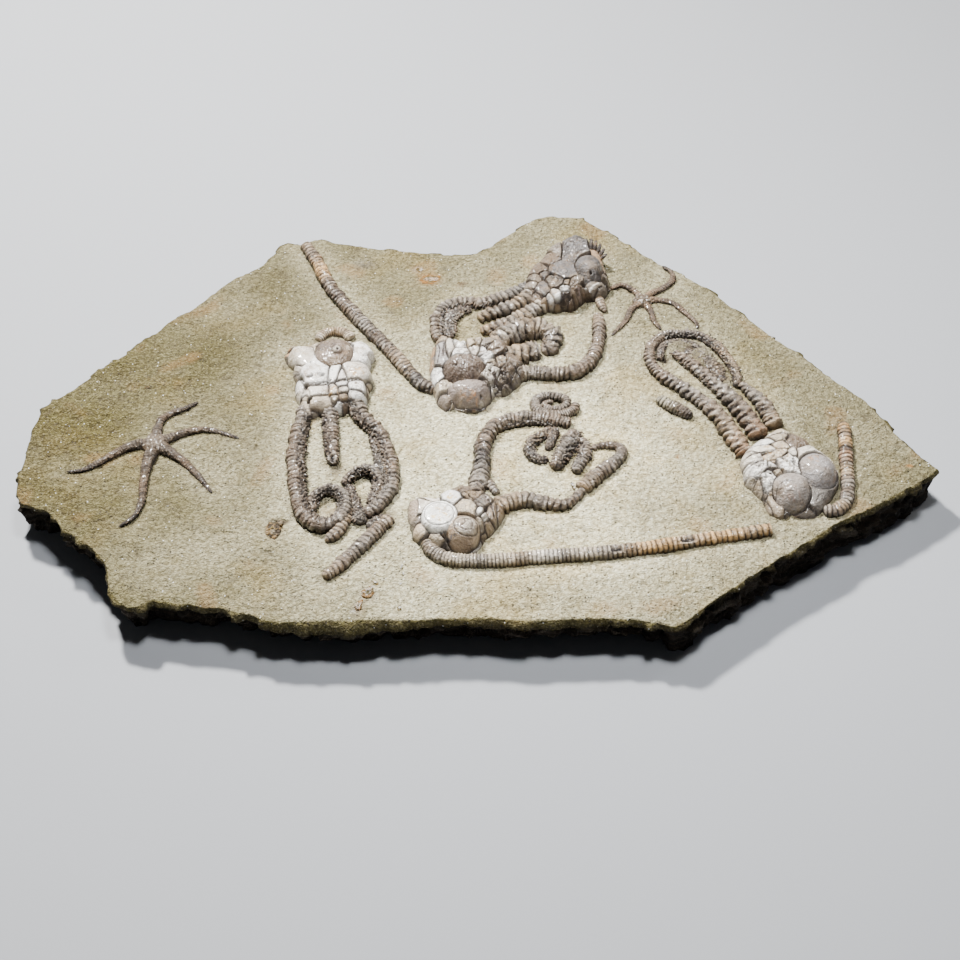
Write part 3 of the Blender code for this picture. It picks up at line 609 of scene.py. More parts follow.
def add_run(bm, route, widths, tints, form, pitch, seed, inner=0, lift=0.22, tall=0.92, rise=(0,),
            ends=(1.4, 1.4), worn=0, step=STEP, spots=0.25, voids=(), crumple=1, grit=None):
    """Rolls one tube along a route. Inner is the grainy flank: -1 left, 1 right, 2 both, 0 none."""
    places, headings, stations = traced(route, step)
    share = stations / stations[-1]
    half = spread(widths, share) / 2
    line = np.stack([stations * MM, half * 0, half * 0], axis=1)
    uneven_rings = 1 + RING_FORMS[form][8] * uneven(line, 4, seed + 0.5)
    phase = np.cumsum(stations[1] / (spread(pitch, share) * uneven_rings))
    sway = uneven(line, 5, seed + 2.5)
    half = half * (1 + 0.06 * crumple * uneven(line, 3.2, seed + 4.5))
    footprints.extend((x, y, width) for (x, y), width in zip(places[::4].tolist(), half[::4].tolist()))
    verts = bmesh.ops.create_grid(bm, x_segments=SIDES, y_segments=len(share) - 1, size=0.5)["verts"]
    grid = np.array([vert.co[:2] for vert in verts]) + 0.5
    station = np.rint(grid[:, 1] * (len(share) - 1)).astype(int)
    turn = 2 * grid[:, 0] - 1
    angle = math.pi * (0.76 * turn + 0.24 * turn**5)
    closing = close_ends(stations, ends)
    left = np.stack([-headings[:, 1], headings[:, 0]], axis=1)
    rng = np.random.RandomState(seed)
    rows = np.stack([rng.uniform(-1, 1, RINGS), rng.uniform(0.7, 1.22, RINGS)], axis=1)

    def laid(scale):
        """Where the points lie when the tube's radius is scaled."""
        out = -np.sin(angle) * half[station] * closing[station] * scale
        up = np.cos(angle) * half[station] * closing[station] * tall * scale
        plan = places[station] + left[station] * out[:, None]
        height = up + half[station] * lift + spread(rise, share)[station]
        return placed(plan[:, 0], plan[:, 1], height)

    plain = laid(1)
    rough = uneven(plain, 2.1, seed)
    fine = uneven(plain, 0.9, seed + 5)
    patch = uneven(plain, 5, seed + 3)
    relief, groove, shade, crest, clear = ring_relief(
        form, phase[station], angle, rows, rough, fine, sway[station], patch)
    grit = RING_FORMS[form][6] if grit is None else grit
    grains = grainy(plain, 0.95, seed)
    relief = relief + grit * 0.2 * (grains - 0.45) * (1 - 0.45 * clear)
    # Dirt and painted shade between the grains of grit.
    groove = np.maximum(groove, grit * unit(0.75 - 1.7 * grains) * (1 - 0.55 * clear))
    if inner:
        flank = 1 if inner == 2 else inner * np.sin(angle)
        fringe = smooth_step(-0.15, 0.3, flank + 0.35 * rough) * (0.9 if inner == 2 else 1)
        # On the grainy flank: dirt and painted shade between the grains, and painted highlights on their
        # tops, which count as crests.
        relief = relief * (1 - fringe) + fringe * (0.56 * grains - 0.32)
        groove = groove * (1 - fringe) + fringe * unit(1.05 - 2 * grains)
        crest = crest * (1 - fringe) + fringe * grains
    folds = 1 - 2 * np.abs(uneven(plain, 2.8, seed + 7))
    relief = relief + crumple * (0.075 * fine + 0.07 * uneven(plain, 4, seed + 9) + 0.055 * folds)
    pits = smooth_step(0.38, 0.56, uneven(plain, 2, seed + 13)) * spots
    wear = smooth_step(0.1, 0.6, uneven(plain, 6, seed + 17)) * worn
    relief = relief * (1 - 0.7 * wear) - 0.14 * pits - 0.1 * wear
    # Painted highlight and shade: each ring is lighter on its crest and darker towards its grooves.
    tint = spread(tints, share)[station] * (shade * (0.62 + 0.72 * crest))[:, None]
    # Painted highlights: pale ivory arcs along the crests.
    along_ring = np.stack([phase[station] * 1.15, angle * 0.9, 0 * angle], axis=1) * MM
    most = 0.12 if form == "star" else 0.75
    crest_highlight = unit(1.3 * uneven(along_ring, 1, seed + 21)) * crest**1.2 * most
    tint = painted(tint, IVORY, crest_highlight)
    # Painted shade: the tube darkens towards its foot, where it meets the rock.
    shaded = smooth_step(0.62, 1.15, np.abs(angle) / 1.4)[:, None]
    tint = tint * (1 - 0.68 * shaded)
    # Painted shade: every low spot of the relief is darkened through the groove mask.
    hollow_shade = 0.85 * unit(-7 * (relief + 0.17))
    groove = unit(np.maximum(groove, hollow_shade) * (1 - 0.4 * wear) + 0.7 * pits)
    for at, length in voids:
        off = (stations[station] - at * stations[-1]) / length
        reach = np.hypot(off**2, ((angle - 0.1) / 0.62) ** 2) ** 0.5
        broken = 1 - smooth_step(0.8, 1, reach + 0.22 * rough)
        rim = 0.55 * bell((reach - 1.02) / 0.1) * smooth_step(-0.3, 0.2, rough)
        relief = relief - 0.62 * broken
        chips = unit(3 * fine - 1.1) * broken
        # The hollow of a broken disc is painted dark, as painted shade, inside a pale rim of chips.
        groove = np.maximum(groove * (1 - rim), broken - 0.8 * chips)
        tint = painted(tint, IVORY, np.maximum(rim, chips))
    move_and_paint(bm, verts, laid(1 + relief), tint, groove)
    bmesh.ops.remove_doubles(bm, verts=verts, dist=WELD)


print("runs ready:", SIDES, "sides, a station every", STEP, "mm")

# %% [markdown]
# ## Pinnules
# An arm is a feather: small side branches, the pinnules, leave both its flanks. Most of them lie pressed
# flat and half buried, so each one is only a small tapering cone, laid at random against the flank and
# aimed outward.

# %% Pinnules
def add_pinnules(bm, route, widths, side, tints, count, length, seed, width=0.75, between=(0.05, 0.95),
                 sweep=0.9, rise=0.3):
    """Lays cones against a flank of a run. Side is 1 for the left and -1 for the right."""
    places, headings, stations = traced(route, STEP)
    share = stations / stations[-1]
    half = spread(widths, share) / 2
    rng = random.Random(seed)
    tint_layer = bm.verts.layers.float_color["tint"]
    groove_layer = bm.verts.layers.float["groove"]
    for index in range(count):
        at = between[0] + (between[1] - between[0]) * (index + rng.uniform(-0.4, 0.4)) / count
        station = min(len(share) - 1, max(0, round(at * (len(share) - 1))))
        heading = Vector((*headings[station], 0))
        outward = Vector((-heading.y, heading.x, 0)) * side
        start = Vector((*places[station], 0)) + outward * half[station] * rng.uniform(0.45, 0.9)
        start.z = half[station] * rng.uniform(0.1, 0.8) * rise / 0.3
        reach = rng.uniform(*length) * 0.72
        aim = outward + heading * sweep * rng.uniform(0.5, 1.4) + Vector((0, 0, rng.uniform(-0.55, 0.05)))
        aim.normalize()
        end = start + aim * reach
        end.z = max(end.z, 0.15)
        low, high = (Vector(placed(point.x, point.y, point.z)) for point in (start, end))
        cone = bmesh.ops.create_cone(
            bm, cap_ends=True, segments=5, radius1=width * MM * 0.6, radius2=width * MM * 0.28,
            depth=(high - low).length)["verts"]
        turned = (high - low).to_track_quat("Z", "Y").to_matrix().to_4x4()
        turned.translation = (low + high) / 2
        bmesh.ops.transform(bm, matrix=turned, verts=cone)
        tone = rng.uniform(0.65, 1.35)
        tint = tuple(channel * tone for channel in tints[index % len(tints)])
        for vert in cone:
            vert[tint_layer] = (*tint, 1)
            vert[groove_layer] = rng.uniform(0, 0.25)


print("pinnules ready")

# %% [markdown]
# ## A list of pieces
# An arm is one run or more, with combs of pinnules on its flanks, and most of the slab is such arms. So each
# animal's arms are written as a list, and one function makes every piece on it.

# %% Pieces from a list
def run(*shape, **settings):
    """A run for a list: its route, widths, tints, form, pitch and seed, and then its settings."""
    return lambda bm: add_run(bm, *shape, **settings)


def comb(*shape, **settings):
    """A comb of pinnules for a list: its route, widths, side, tints, number, lengths and seed."""
    return lambda bm: add_pinnules(bm, *shape, **settings)


def make_ringed(slot, pieces):
    """Makes each piece from its runs and combs, in order. They follow its name and its node."""
    for name, cad_node, *parts in pieces:
        bm = new_mesh()
        for add_to in parts:
            add_to(bm)
        keep_piece(name, bm, cad_node, slot)


print("lists ready")

# %% [markdown]
# ## A cup of plates
# The cup, or calyx, is a flattened box of polygonal plates with a few great balls, which fused as it turned
# to stone. It starts as an icosphere cut in half. Its points are spread over the cup's outline, then
# lifted: every plate is a low pillow, the narrow valleys between plates are sutures, and a ball is a dome
# that rises through them. Cracks, scars, beads and holes are pressed in last.

# %% A cup of plates
BASE = -1.6
CUP_DETAIL = 7
# From these bulges up, a plate is a raised dome, a flat drum, or a ball that comes down to the face in
# front.
DOME, DRUM, BALL = 2.9, 3.4, 4


def outline_radius(outline, middle):
    """The outline's radius in every direction from its middle, as a function of the direction."""
    spokes = np.array(outline, float) - middle
    direction = np.arctan2(spokes[:, 1], spokes[:, 0])
    order = np.argsort(direction)
    radius = np.hypot(spokes[:, 0], spokes[:, 1])[order]
    direction = direction[order]
    return lambda wanted: np.interp(wanted, direction, radius, period=2 * math.pi)


def segment_distance(x, y, start, end):
    """Distance from each point to a straight piece of a line."""
    dx, dy = end[0] - start[0], end[1] - start[1]
    share = unit(((x - start[0]) * dx + (y - start[1]) * dy) / (dx * dx + dy * dy))
    return np.hypot(x - start[0] - share * dx, y - start[1] - share * dy)


def raise_domes(x, y, table, is_ball, level, chosen, height, groove):
    """Lifts the balls, drums and domes through the plates, each with a moat round it."""
    for index in np.where(is_ball)[0]:
        ball_x, ball_y, wide, long, top, bulge = table[index, :6]
        size = np.sqrt(wide * long)
        full = bulge >= BALL
        back = (y - ball_y) / long
        reach = np.hypot((x - ball_x) / wide, back / np.where(full & (back > 0), 0.82, 1))
        seat = np.minimum(level - 0.3, 0.62 * top)
        foot = seat * smooth_step(-0.7, 0.35, back) if full else level - 0.3
        corner = 7 if DRUM < bulge < BALL else 2
        dome = foot + (top - foot) * np.sqrt(unit(1 - reach**corner))
        moat = 1 + min(0.3, 0.9 / size)
        lowered = foot + 0.6 + (height - foot) * smooth_step(0.97, moat, reach)
        height = np.where((reach < moat) & ~is_ball[chosen], np.minimum(height, lowered), height)
        wins = (reach < 1) & (~is_ball[chosen] | (dome > height))
        height = np.where(wins, dome, height)
        chosen = np.where(wins, index, chosen)
        crease = bell((reach - 1) * size / 0.3) * ((chosen == index) | ~is_ball[chosen])
        groove = np.maximum(groove * ~wins, 0.9 * crease)
    return chosen, height, groove


def press_marks(x, y, flat, marks, seed, height, groove, tint):
    """Presses marks in or out, in order. Each has a place, size, height and perhaps a colour."""
    for kind, (at, across, amount, *colour) in ((kind, mark) for kind, *same in marks for mark in same):
        if kind in ("crack", "ledge"):
            reach = np.min([segment_distance(x, y, start, end) for start, end in zip(at, at[1:])], axis=0)
            reach = reach + 0.25 * uneven(flat, 1.1, seed + 30)
        else:
            reach = np.hypot(x - at[0], y - at[1])
        if kind == "ring":
            press = bell((reach - across) / 0.26)
        elif kind == "bead":
            press = np.sqrt(unit(1 - (reach / across) ** 2))
            groove = np.maximum(groove, 0.7 * bell((reach - across - 0.1) / 0.22))
        elif kind in ("spot", "hole"):
            press = 1 - smooth_step(0.7, 1.1, reach / across + 0.24 * uneven(flat, 1.4, seed + 37))
        elif kind == "mottle":
            clouds = uneven(flat, 2, seed + 41) + 0.5 * uneven(flat, 0.8, seed + 43)
            press = (1 - smooth_step(0.8, 1.05, reach / across)) * smooth_step(0, 0.3, clouds)
        else:
            press = bell(reach / across)
        height = height + amount * press
        # A mark pressed in is darkened by its depth: dirt in cracks, and painted shade in holes and pits.
        if amount < 0:
            deep = -amount if kind in ("spot", "mottle") else 0.5 - amount
            groove = np.maximum(groove, press * min(1, deep))
        # A hole's dark colour, given in the tables, is painted shade inside it.
        for tone in colour:
            tint = painted(tint, tone, press)
    return height, groove, tint


def make_cup(outline, plates, marks, seed, crisp=0.9):
    """Lifts a half sphere into a cup. A plate is x, y, two half widths, height, bulge, roughness and tint."""
    bm = new_mesh()
    bmesh.ops.create_icosphere(bm, subdivisions=CUP_DETAIL, radius=1)
    cut = bmesh.ops.bisect_plane(
        bm, geom=[*bm.verts, *bm.edges, *bm.faces], plane_co=(0, 0, 0), plane_no=(0, 0, 1), clear_inner=True)
    rim = [item for item in cut["geom_cut"] if isinstance(item, bmesh.types.BMEdge)]
    bmesh.ops.contextual_create(bm, geom=rim)
    ball_points = np.array([vert.co[:] for vert in bm.verts])
    middle = np.mean(np.array(outline, float), axis=0)
    direction = np.arctan2(ball_points[:, 1], ball_points[:, 0])
    spread_out = np.arccos(unit(ball_points[:, 2])) / (math.pi / 2)
    radius = outline_radius(outline, middle)(direction) * spread_out
    x = middle[0] + radius * np.cos(direction)
    y = middle[1] + radius * np.sin(direction)
    footprints.extend((px, py, 0) for px, py in zip(x[spread_out > 0.985], y[spread_out > 0.985]))
    flat = placed(x, y, np.zeros_like(x))
    wobble = uneven(flat, 3.2, seed)
    x = x + 0.35 * wobble
    y = y + 0.35 * uneven(flat, 3.2, seed + 4)

    table = np.array([plate[:7] for plate in plates], float)
    colours = np.array([plate[7] for plate in plates], float)
    size = np.sqrt(table[:, 2] * table[:, 3])
    apart = np.sqrt(
        ((x[:, None] - table[:, 0]) / table[:, 2]) ** 2 + ((y[:, None] - table[:, 1]) / table[:, 3]) ** 2)
    gap = (apart - 1) * size
    is_ball = table[:, 5] >= DOME
    tiles = np.where(~is_ball)[0]
    tile_gap = gap[:, tiles]
    order = np.argsort(tile_gap, axis=1)
    rank = np.arange(len(x))
    first, second = tiles[order[:, 0]], tiles[order[:, 1]]
    seam = (gap[rank, second] - gap[rank, first]) / 2
    weight = 1 / (0.3 + np.clip(tile_gap, 0, None)) ** 3
    level = (weight * (table[tiles, 4] - 0.8 * table[tiles, 5])).sum(axis=1) / weight.sum(axis=1)
    rounding = np.where(table[first, 5] < 1.35, np.minimum(0.8 * size[first], crisp), 0.8 * size[first])
    rounding = np.where(table[first, 6] >= 0.3, 0.55, rounding)
    swell = unit(seam / np.clip(rounding, 0.55, None))
    height = level + table[first, 5] * np.sqrt(1 - (1 - swell) ** 2)
    rng = np.random.RandomState(seed)
    slopes = rng.uniform(-1, 1, (len(plates), 2)) * np.clip(table[:, 6:7] - 0.12, 0, 0.4) * 7
    tilted = slopes[first, 0] * (x - table[first, 0]) + slopes[first, 1] * (y - table[first, 1])
    height = height + np.clip(tilted / size[first], -1.6, 1.6)
    groove = bell(seam / 0.3)
    height = height - 0.95 * bell(seam / 0.31)
    chosen, height, groove = raise_domes(x, y, table, is_ball, level, first, height, groove)
    rough = table[chosen, 6]
    bumps = 1.4 * uneven(flat, 2.2, seed + 8) + 1 * uneven(flat, 0.9, seed + 12)
    height = height + rough * bumps
    # Dirt and painted shade in the low spots of rough plates.
    groove = np.maximum(groove, np.clip(-1.5 * bumps - 0.35, 0, 0.8) * unit(4 * rough - 0.6))
    height = height + 0.1 * uneven(flat, 5, seed + 15)

    shade = rng.uniform(0.84, 1.1, len(plates))
    tint = colours[chosen] * shade[chosen][:, None]
    stain = bell(seam / 0.9) * unit(0.4 + uneven(flat, 4, seed + 18)) * 0.7
    tint = painted(tint, np.array(UMBER) * 1.4, np.where(is_ball[chosen], 0, stain))
    # Painted shade: the plates darken towards the sutures between them.
    tint = tint * (1 - 0.55 * bell(seam / 0.75) * ~is_ball[chosen])[:, None]
    tint = painted(tint, TAN, smooth_step(0.15, 0.5, uneven(flat, 4.5, seed + 22)) * 0.3)
    height, groove, tint = press_marks(x, y, flat, marks, seed, height, groove, tint)
    edge = np.sqrt(unit(1 - spread_out**9))
    height = BASE + (np.maximum(height, 0.3) - BASE) * edge
    # Painted shade: the cup darkens towards its foot, where it meets the rock.
    foot = np.exp(-np.clip(height, 0, None) / 2)
    tint = tint * (1 - 0.65 * foot)[:, None]
    groove = unit(groove + 0.35 * foot)
    move_and_paint(bm, list(bm.verts), placed(x, y, height), tint, groove)
    print("a cup of", len(plates), "plates is lifted")
    return bm


print("cups ready")

# %% [markdown]
# ## The left crinoid
# The cup stands upright with a worn dome in its upper part and a waist below. Plates are numbered from the
# top. The two bright beads and the round scar on the dome are part of the animal, so they are pressed in as
# marks.

# %% Left cup
LEFT_OUTLINE = (
    (-91.2, 30.5), (-90.2, 33.5), (-85.7, 32.9), (-80.2, 33), (-74.2, 36.6), (-69.6, 37.4), (-64.1, 37.4),
    (-58.6, 36.2), (-54, 36.2), (-50.8, 32.3), (-48.8, 27.5), (-50.4, 23.9), (-51.3, 18), (-49, 11),
    (-48.8, 8.1), (-50.6, 4.1), (-50.5, -2.7), (-51.7, -4.9), (-55, -7.2), (-58.7, -8.3), (-61.6, -11.1),
    (-65.3, -12.2), (-71.4, -11.6), (-76, -14.4), (-79.9, -13.3), (-81.9, -4.9), (-84.6, 3), (-85.3, 6.4),
    (-84.5, 9.3), (-86.6, 19.2), (-90.6, 25.6), (-92.1, 28.7),
)
LEFT_PLATES = (
    (-67.5, 24.4, 9, 11, 10.7, 3, 0.15, UMBER), (-83.2, 22.8, 6.5, 9.5, 8, 3, 0.06, IVORY),
    (-76.3, 32.8, 3.9, 3, 7.4, 1, 0.08, CREAM), (-55.7, 26.9, 5.8, 8.3, 8, 2.6, 0.06, WHITE),
    (-61.6, 35, 4.6, 2.4, 7, 0.8, 0.08, IVORY), (-75.4, 8.7, 6.2, 7.2, 9, 2, 0.06, WHITE),
    (-66.4, 8.2, 2.5, 4.1, 9, 0.8, 0.1, WHITE), (-62.9, 6.5, 2.1, 3.5, 9, 0.8, 0.1, WHITE),
    (-56.3, 9.9, 5.3, 6.3, 9, 2, 0.12, IVORY), (-75.9, -2.7, 6.8, 3.1, 8.3, 1.4, 0.1, IVORY),
    (-54.7, 1.4, 4.5, 3.6, 8, 1, 0.08, WHITE), (-71.4, -8.9, 5.4, 2.8, 7.6, 1, 0.06, CREAM),
    (-69.3, -13.2, 4.5, 2.2, 7, 0.9, 0.06, IVORY), (-67.3, -16.2, 3.8, 2, 6.2, 0.8, 0.06, TAN),
    (-66.1, -3, 1.5, 2.5, 8.4, 0.7, 0.08, IVORY), (-62.3, 2.1, 1.9, 2, 8.4, 0.6, 0.08, WHITE),
    (-61.5, -1.9, 1.7, 2, 8.2, 0.7, 0.08, IVORY), (-65.7, -7.3, 1.5, 2.2, 8, 0.7, 0.08, CREAM),
    (-61.1, -5.5, 1.6, 2, 7.8, 0.6, 0.1, TAN), (-63.8, -10.6, 1.6, 2.2, 7.2, 0.6, 0.08, WHITE),
    (-63.3, -14.3, 1.3, 2, 6, 0.6, 0.2, UMBER), (-59.8, -9.3, 1.9, 2.8, 7, 0.6, 0.25, UMBER),
    (-55.6, -4, 3.6, 2.7, 7.8, 1, 0.06, WHITE), (-55.7, -8.2, 3.4, 2.4, 7.2, 0.9, 0.06, WHITE),
    (-50.7, 2.3, 1.9, 3.4, 6.5, 0.6, 0.06, CREAM), (-78.7, -8.2, 2.1, 7.8, 5, 0.8, 0.06, CREAM),
    (-81.6, 4.8, 1.6, 2.8, 5, 0.6, 0.1, WHITE), (-85.6, 14.4, 2.3, 5.2, 3.6, 0.6, 0.2, GREY),
    (-76.3, -16.8, 3, 2.2, 4, 0.8, 0.15, IVORY),
)
LEFT_MARKS = (
    ("bead", ((-77.4, 6.2), 1.5, 1.5, WHITE), ((-72.4, 7.2), 1.5, 1.5, WHITE),
     ((-65.9, 22.4), 2.3, 1.5, (0.5, 0.45, 0.37))),
    ("hole", ((-65.7, 22), 0.75, -0.9, (0.2, 0.12, 0.07))),
    ("ring", ((-65.9, 22.4), 3.1, -0.2)),
    ("spot", ((-73.4, 27), 1.9, -0.1, (0.11, 0.08, 0.06))),
    ("mottle", ((-69, 24), 7.5, 0, (0.26, 0.2, 0.165)), ((-72, 28), 6, 0, (0.075, 0.05, 0.038)),
     ((-56.3, 9.9), 4, -0.2, (0.62, 0.42, 0.22)), ((-66, -3), 3.4, -0.1, OCHRE)),
    ("hole", ((-76.6, -7), 1.5, -2.2, DARK)),
    ("spot", ((-56.2, 2.4), 0.8, -0.4, TAN)),
    ("ledge", (((-83.7, -0.3), (-77.7, 0.2), (-71.7, 2.1), (-67.6, 3.3)), 0.38, -1.3),
     (((-60.5, 4.7), (-55.3, 5.3), (-50.7, 4.2), (-48.4, 3.1)), 0.38, -1.3)),
    ("spot", ((-90, 29.4), 2, 0.1, (0.62, 0.3, 0.1))),
    ("mottle", ((-84, 24), 5, 0, CREAM), ((-88, 29), 3.4, 0, (0.52, 0.3, 0.13)),
     ((-75.4, 8.7), 5.5, 0, (0.5, 0.44, 0.36)), ((-55.7, 26.9), 6.5, 0, (0.56, 0.49, 0.4))),
    ("crack", (((-91, 22), (-86, 18.6), (-82, 16.2), (-78, 15.6)), 0.4, -0.9),
     (((-58.6, 17.4), (-55, 17.8), (-50.4, 17.2)), 0.4, -0.9),
     (((-63, 36.6), (-60.6, 32), (-58.6, 28.6)), 0.35, -0.8)),
)
left_cup = make_cup(LEFT_OUTLINE, LEFT_PLATES, LEFT_MARKS, seed=11)
keep_piece("left_cup_plates", left_cup, "left_crinoid_cup", "left_cup_calcite")

# %% [markdown]
# Its arms leave the cup side by side. The outer flanks show clean rings, and the inner ones keep the fuzz
# of side branches, so a tube and a scatter of tiny cones make each arm. The left one curls round a hole at
# its end.

# %% Left arms
LEFT_LONG = (
    (-79, -6), (-79.5, -16), (-80.5, -28), (-80.5, -40), (-79, -52), (-77.5, -63), (-74.5, -73),
    (-69, -79.5), (-63, -79.5), (-58.5, -75), (-57.8, -67), (-60.5, -61), (-65.5, -59.3), (-70, -62.5),
    (-71.5, -68), (-70, -72),
)
LEFT_LONG_WIDTHS = (7, 8.5, 8.5, 8.5, 8.2, 8, 7, 6.2, 5.2, 4)
RIGHT_LONG = (
    (-57, -4), (-52.5, -14), (-45.5, -23), (-41, -35), (-38.5, -48), (-39, -59), (-43.5, -68), (-49, -74),
)
FRINGE = ((-48.5, -24), (-45, -35), (-43.3, -48), (-43.8, -58), (-46.5, -67))
ARM_TINTS = (GREY, UMBER, UMBER, UMBER, GREY, UMBER)

BRANCH = ((-44.5, -62), (-43.5, -55), (-46, -49.3), (-50.5, -47.8), (-55, -50.5), (-59, -56.5))
FRAGMENT = ((-57, -55), (-54, -64), (-51.5, -72), (-50, -79))
make_ringed("left_arm_calcite", (
    ("left_arm_rings", "left_crinoid_left_arm",
     run(LEFT_LONG, LEFT_LONG_WIDTHS, ARM_TINTS, "arm", 2.1, 21, inner=-1, rise=(0, 0, 0, 0.6, 1.2, 0.6)),
     comb(LEFT_LONG, LEFT_LONG_WIDTHS, 1, (UMBER, GREY, DARK), 110, (1.2, 2.8), 22, between=(0.12, 0.98))),
    ("middle_arm_rings", "left_crinoid_middle_arm",
     run(((-68, -8), (-67, -20), (-65.5, -33), (-64, -43)), (8, 8, 7.5, 5.5), (GREY, UMBER, UMBER), "arm",
         2.2, 25, inner=1, ends=(1.4, 2.4), worn=0.7, voids=((0.95, 2.2),)),
     comb(((-68, -8), (-67, -20), (-65.5, -33), (-64, -43)), (8, 8, 7.5, 5.5), 1, (UMBER, GREY), 40,
         (0.9, 2), 26)),
    ("right_arm_rings", "left_crinoid_right_arm",
     run(RIGHT_LONG, (8, 8, 7.5, 7.5, 7, 6.5), ARM_TINTS, "arm", 2.1, 31, inner=1),
     run(FRINGE, (4, 5.5, 7, 7.5, 6), (UMBER, GREY, UMBER), "beaded", 1.6, 32, inner=2, lift=0.08, tall=0.7),
     comb(FRINGE, (4, 5.5, 7, 7.5, 6), 1, (UMBER, GREY, TAN), 70, (1.2, 2.4), 33, sweep=0.6),
     comb(RIGHT_LONG, (8, 8, 7.5, 7.5, 6, 4.5), -1, (UMBER, GREY), 120, (1, 2.4), 34)),
    ("thin_branch_rings", "left_crinoid_thin_branch",
     run(BRANCH, (3.5, 4.5, 5, 5, 4.6, 4), (UMBER, GREY, UMBER), "arm", 1.7, 35, inner=-1,
         rise=(1, 1.5, 2, 1)),
     comb(BRANCH, (3.5, 4.5, 5, 5, 4.6, 4), 1, (UMBER, DARK), 40, (0.9, 2), 36, rise=0.6)),
    ("branch_tail_rings", "left_crinoid_branch_tail",
     run(((-55.5, -66), (-57, -76), (-60, -84), (-64.5, -88.5)), (4.5, 5.5, 6, 4), (UMBER, TAN, UMBER),
         "stem", 2.2, 37, ends=(1.4, 2.6))),
    ("arm_fragment_rings", "left_crinoid_arm_fragment",
     run(FRAGMENT, (3.5, 5, 5.5, 6), (UMBER, UMBER, GREY), "arm", 1.8, 38, inner=2, ends=(1.4, 2)),
     comb(FRAGMENT, (3.5, 4.5, 5, 5.5), -1, (UMBER, GREY), 60, (1.2, 3), 39),
     comb(FRAGMENT, (3.5, 4.5, 5, 5.5), 1, (UMBER, DARK), 40, (1, 2.2), 40)),
))

make_ringed("left_stub_calcite", (
    ("left_stub_rings", "left_crinoid_stem_stub",
     run(((-77, 41), (-74, 45.5), (-69, 47.5), (-64, 46), (-61, 42)), (5.6, 5.6, 5.6),
         (CREAM, TAN, SAND, TAN, CREAM), "stem", 1.4, 41, worn=0.4, lift=0.05)),
))

# %% [markdown]
# ## The centre crinoid
# Two great balls lie at the front of this cup, and its plates are crushed and pale behind them. A long stem
# comes in from the back left. Three arms leave it to the right, and the lowest turns back at its end.

# %% Centre cup
CENTRE_OUTLINE = (
    (-23.4, 22.7), (-23.2, 29.9), (-21.9, 36), (-19.3, 41.4), (-15.3, 37.8), (-10.1, 34.5), (-5.5, 37),
    (-0.8, 38.4), (4.7, 38.4), (9.4, 37.2), (14, 29.9), (18.6, 25.1), (22.4, 19.2), (22.7, 14.5),
    (19.6, 11.6), (15.3, 6.4), (11.8, 1.8), (7.2, 1.8), (5.3, -1.6), (1.9, -7.2), (-2.3, -9.2),
    (-6.8, -9.6), (-11.7, -7.2), (-15.8, -9.4), (-19.3, -5.5), (-20.6, -0.4), (-22.6, 11), (-23.5, 16.8),
)
CENTRE_PLATES = (
    (-7.2, 13.6, 9.8, 9.4, 12.3, 4.5, 0.34, (0.13, 0.092, 0.068)),
    (-4.9, -0.6, 9.9, 7.6, 10, 5, 0.1, (0.27, 0.22, 0.19)),
    (-16.2, -4.6, 3.3, 4.6, 5.4, 5, 0.06, (0.25, 0.2, 0.16)), (-16.6, 2.5, 3.5, 4.5, 6.3, 0.9, 0.34, CREAM),
    (-19.5, 11, 3, 5.4, 6.3, 0.9, 0.32, WHITE), (-18.4, 24, 3, 9.4, 7.9, 1.8, 0.12, (0.4, 0.375, 0.36)),
    (-14.2, 27.5, 2.4, 4.6, 8.6, 1, 0.14, IVORY),
    (-22.2, 27, 1.6, 8.6, 5.6, 1.4, 0.08, (0.36, 0.215, 0.11)), (-18.9, 36.2, 2.3, 3, 7, 1.5, 0.1, TAN),
    (-8.5, 29.9, 3.9, 4.2, 8.6, 1.2, 0.15, WHITE), (-4.7, 30.6, 3.4, 4.2, 9, 1.2, 0.12, CREAM),
    (-1.2, 32.3, 2.4, 3, 8.6, 1, 0.1, CREAM), (-8.5, 23, 3.9, 2.6, 9.4, 1, 0.15, WHITE),
    (-2.3, 25, 3.1, 3.3, 9.2, 1, 0.12, IVORY), (1.2, 24, 2.1, 4.2, 9, 0.8, 0.2, WHITE),
    (3.1, 30.5, 2.7, 4.2, 8.6, 1, 0.25, GREY), (5.6, 26.6, 3.1, 3.5, 8.6, 1, 0.3, UMBER),
    (3.1, 18.7, 2.7, 2.9, 9, 0.8, 0.4, WHITE), (6.1, 15.8, 2.7, 2.9, 8.8, 0.8, 0.45, CREAM),
    (5.3, 8.1, 4.5, 5.2, 8.6, 1, 0.5, IVORY), (3, 0.8, 3, 4.6, 8, 1.4, 0.1, GREY),
    (10, 16.5, 3, 4.1, 8.4, 1, 0.3, TAN), (13, 12.7, 3.4, 5.2, 7.6, 1.2, 0.3, UMBER),
    (9.9, 6.5, 3.4, 4, 7, 1, 0.4, GREY), (16.1, 18.8, 3.5, 4.7, 7.4, 1.2, 0.25, UMBER),
    (19.3, 14.8, 2.7, 4.1, 5.8, 1, 0.25, UMBER), (16.8, 9.3, 3.1, 4.1, 4.5, 1, 0.3, GREY),
    (12.2, 4.7, 3.5, 3.4, 4, 1, 0.4, GREY), (6.8, 1.6, 3.4, 3.4, 3, 1, 0.4, IVORY),
    (3, -3.2, 2.2, 4.5, 3, 1, 0.2, GREY),
)
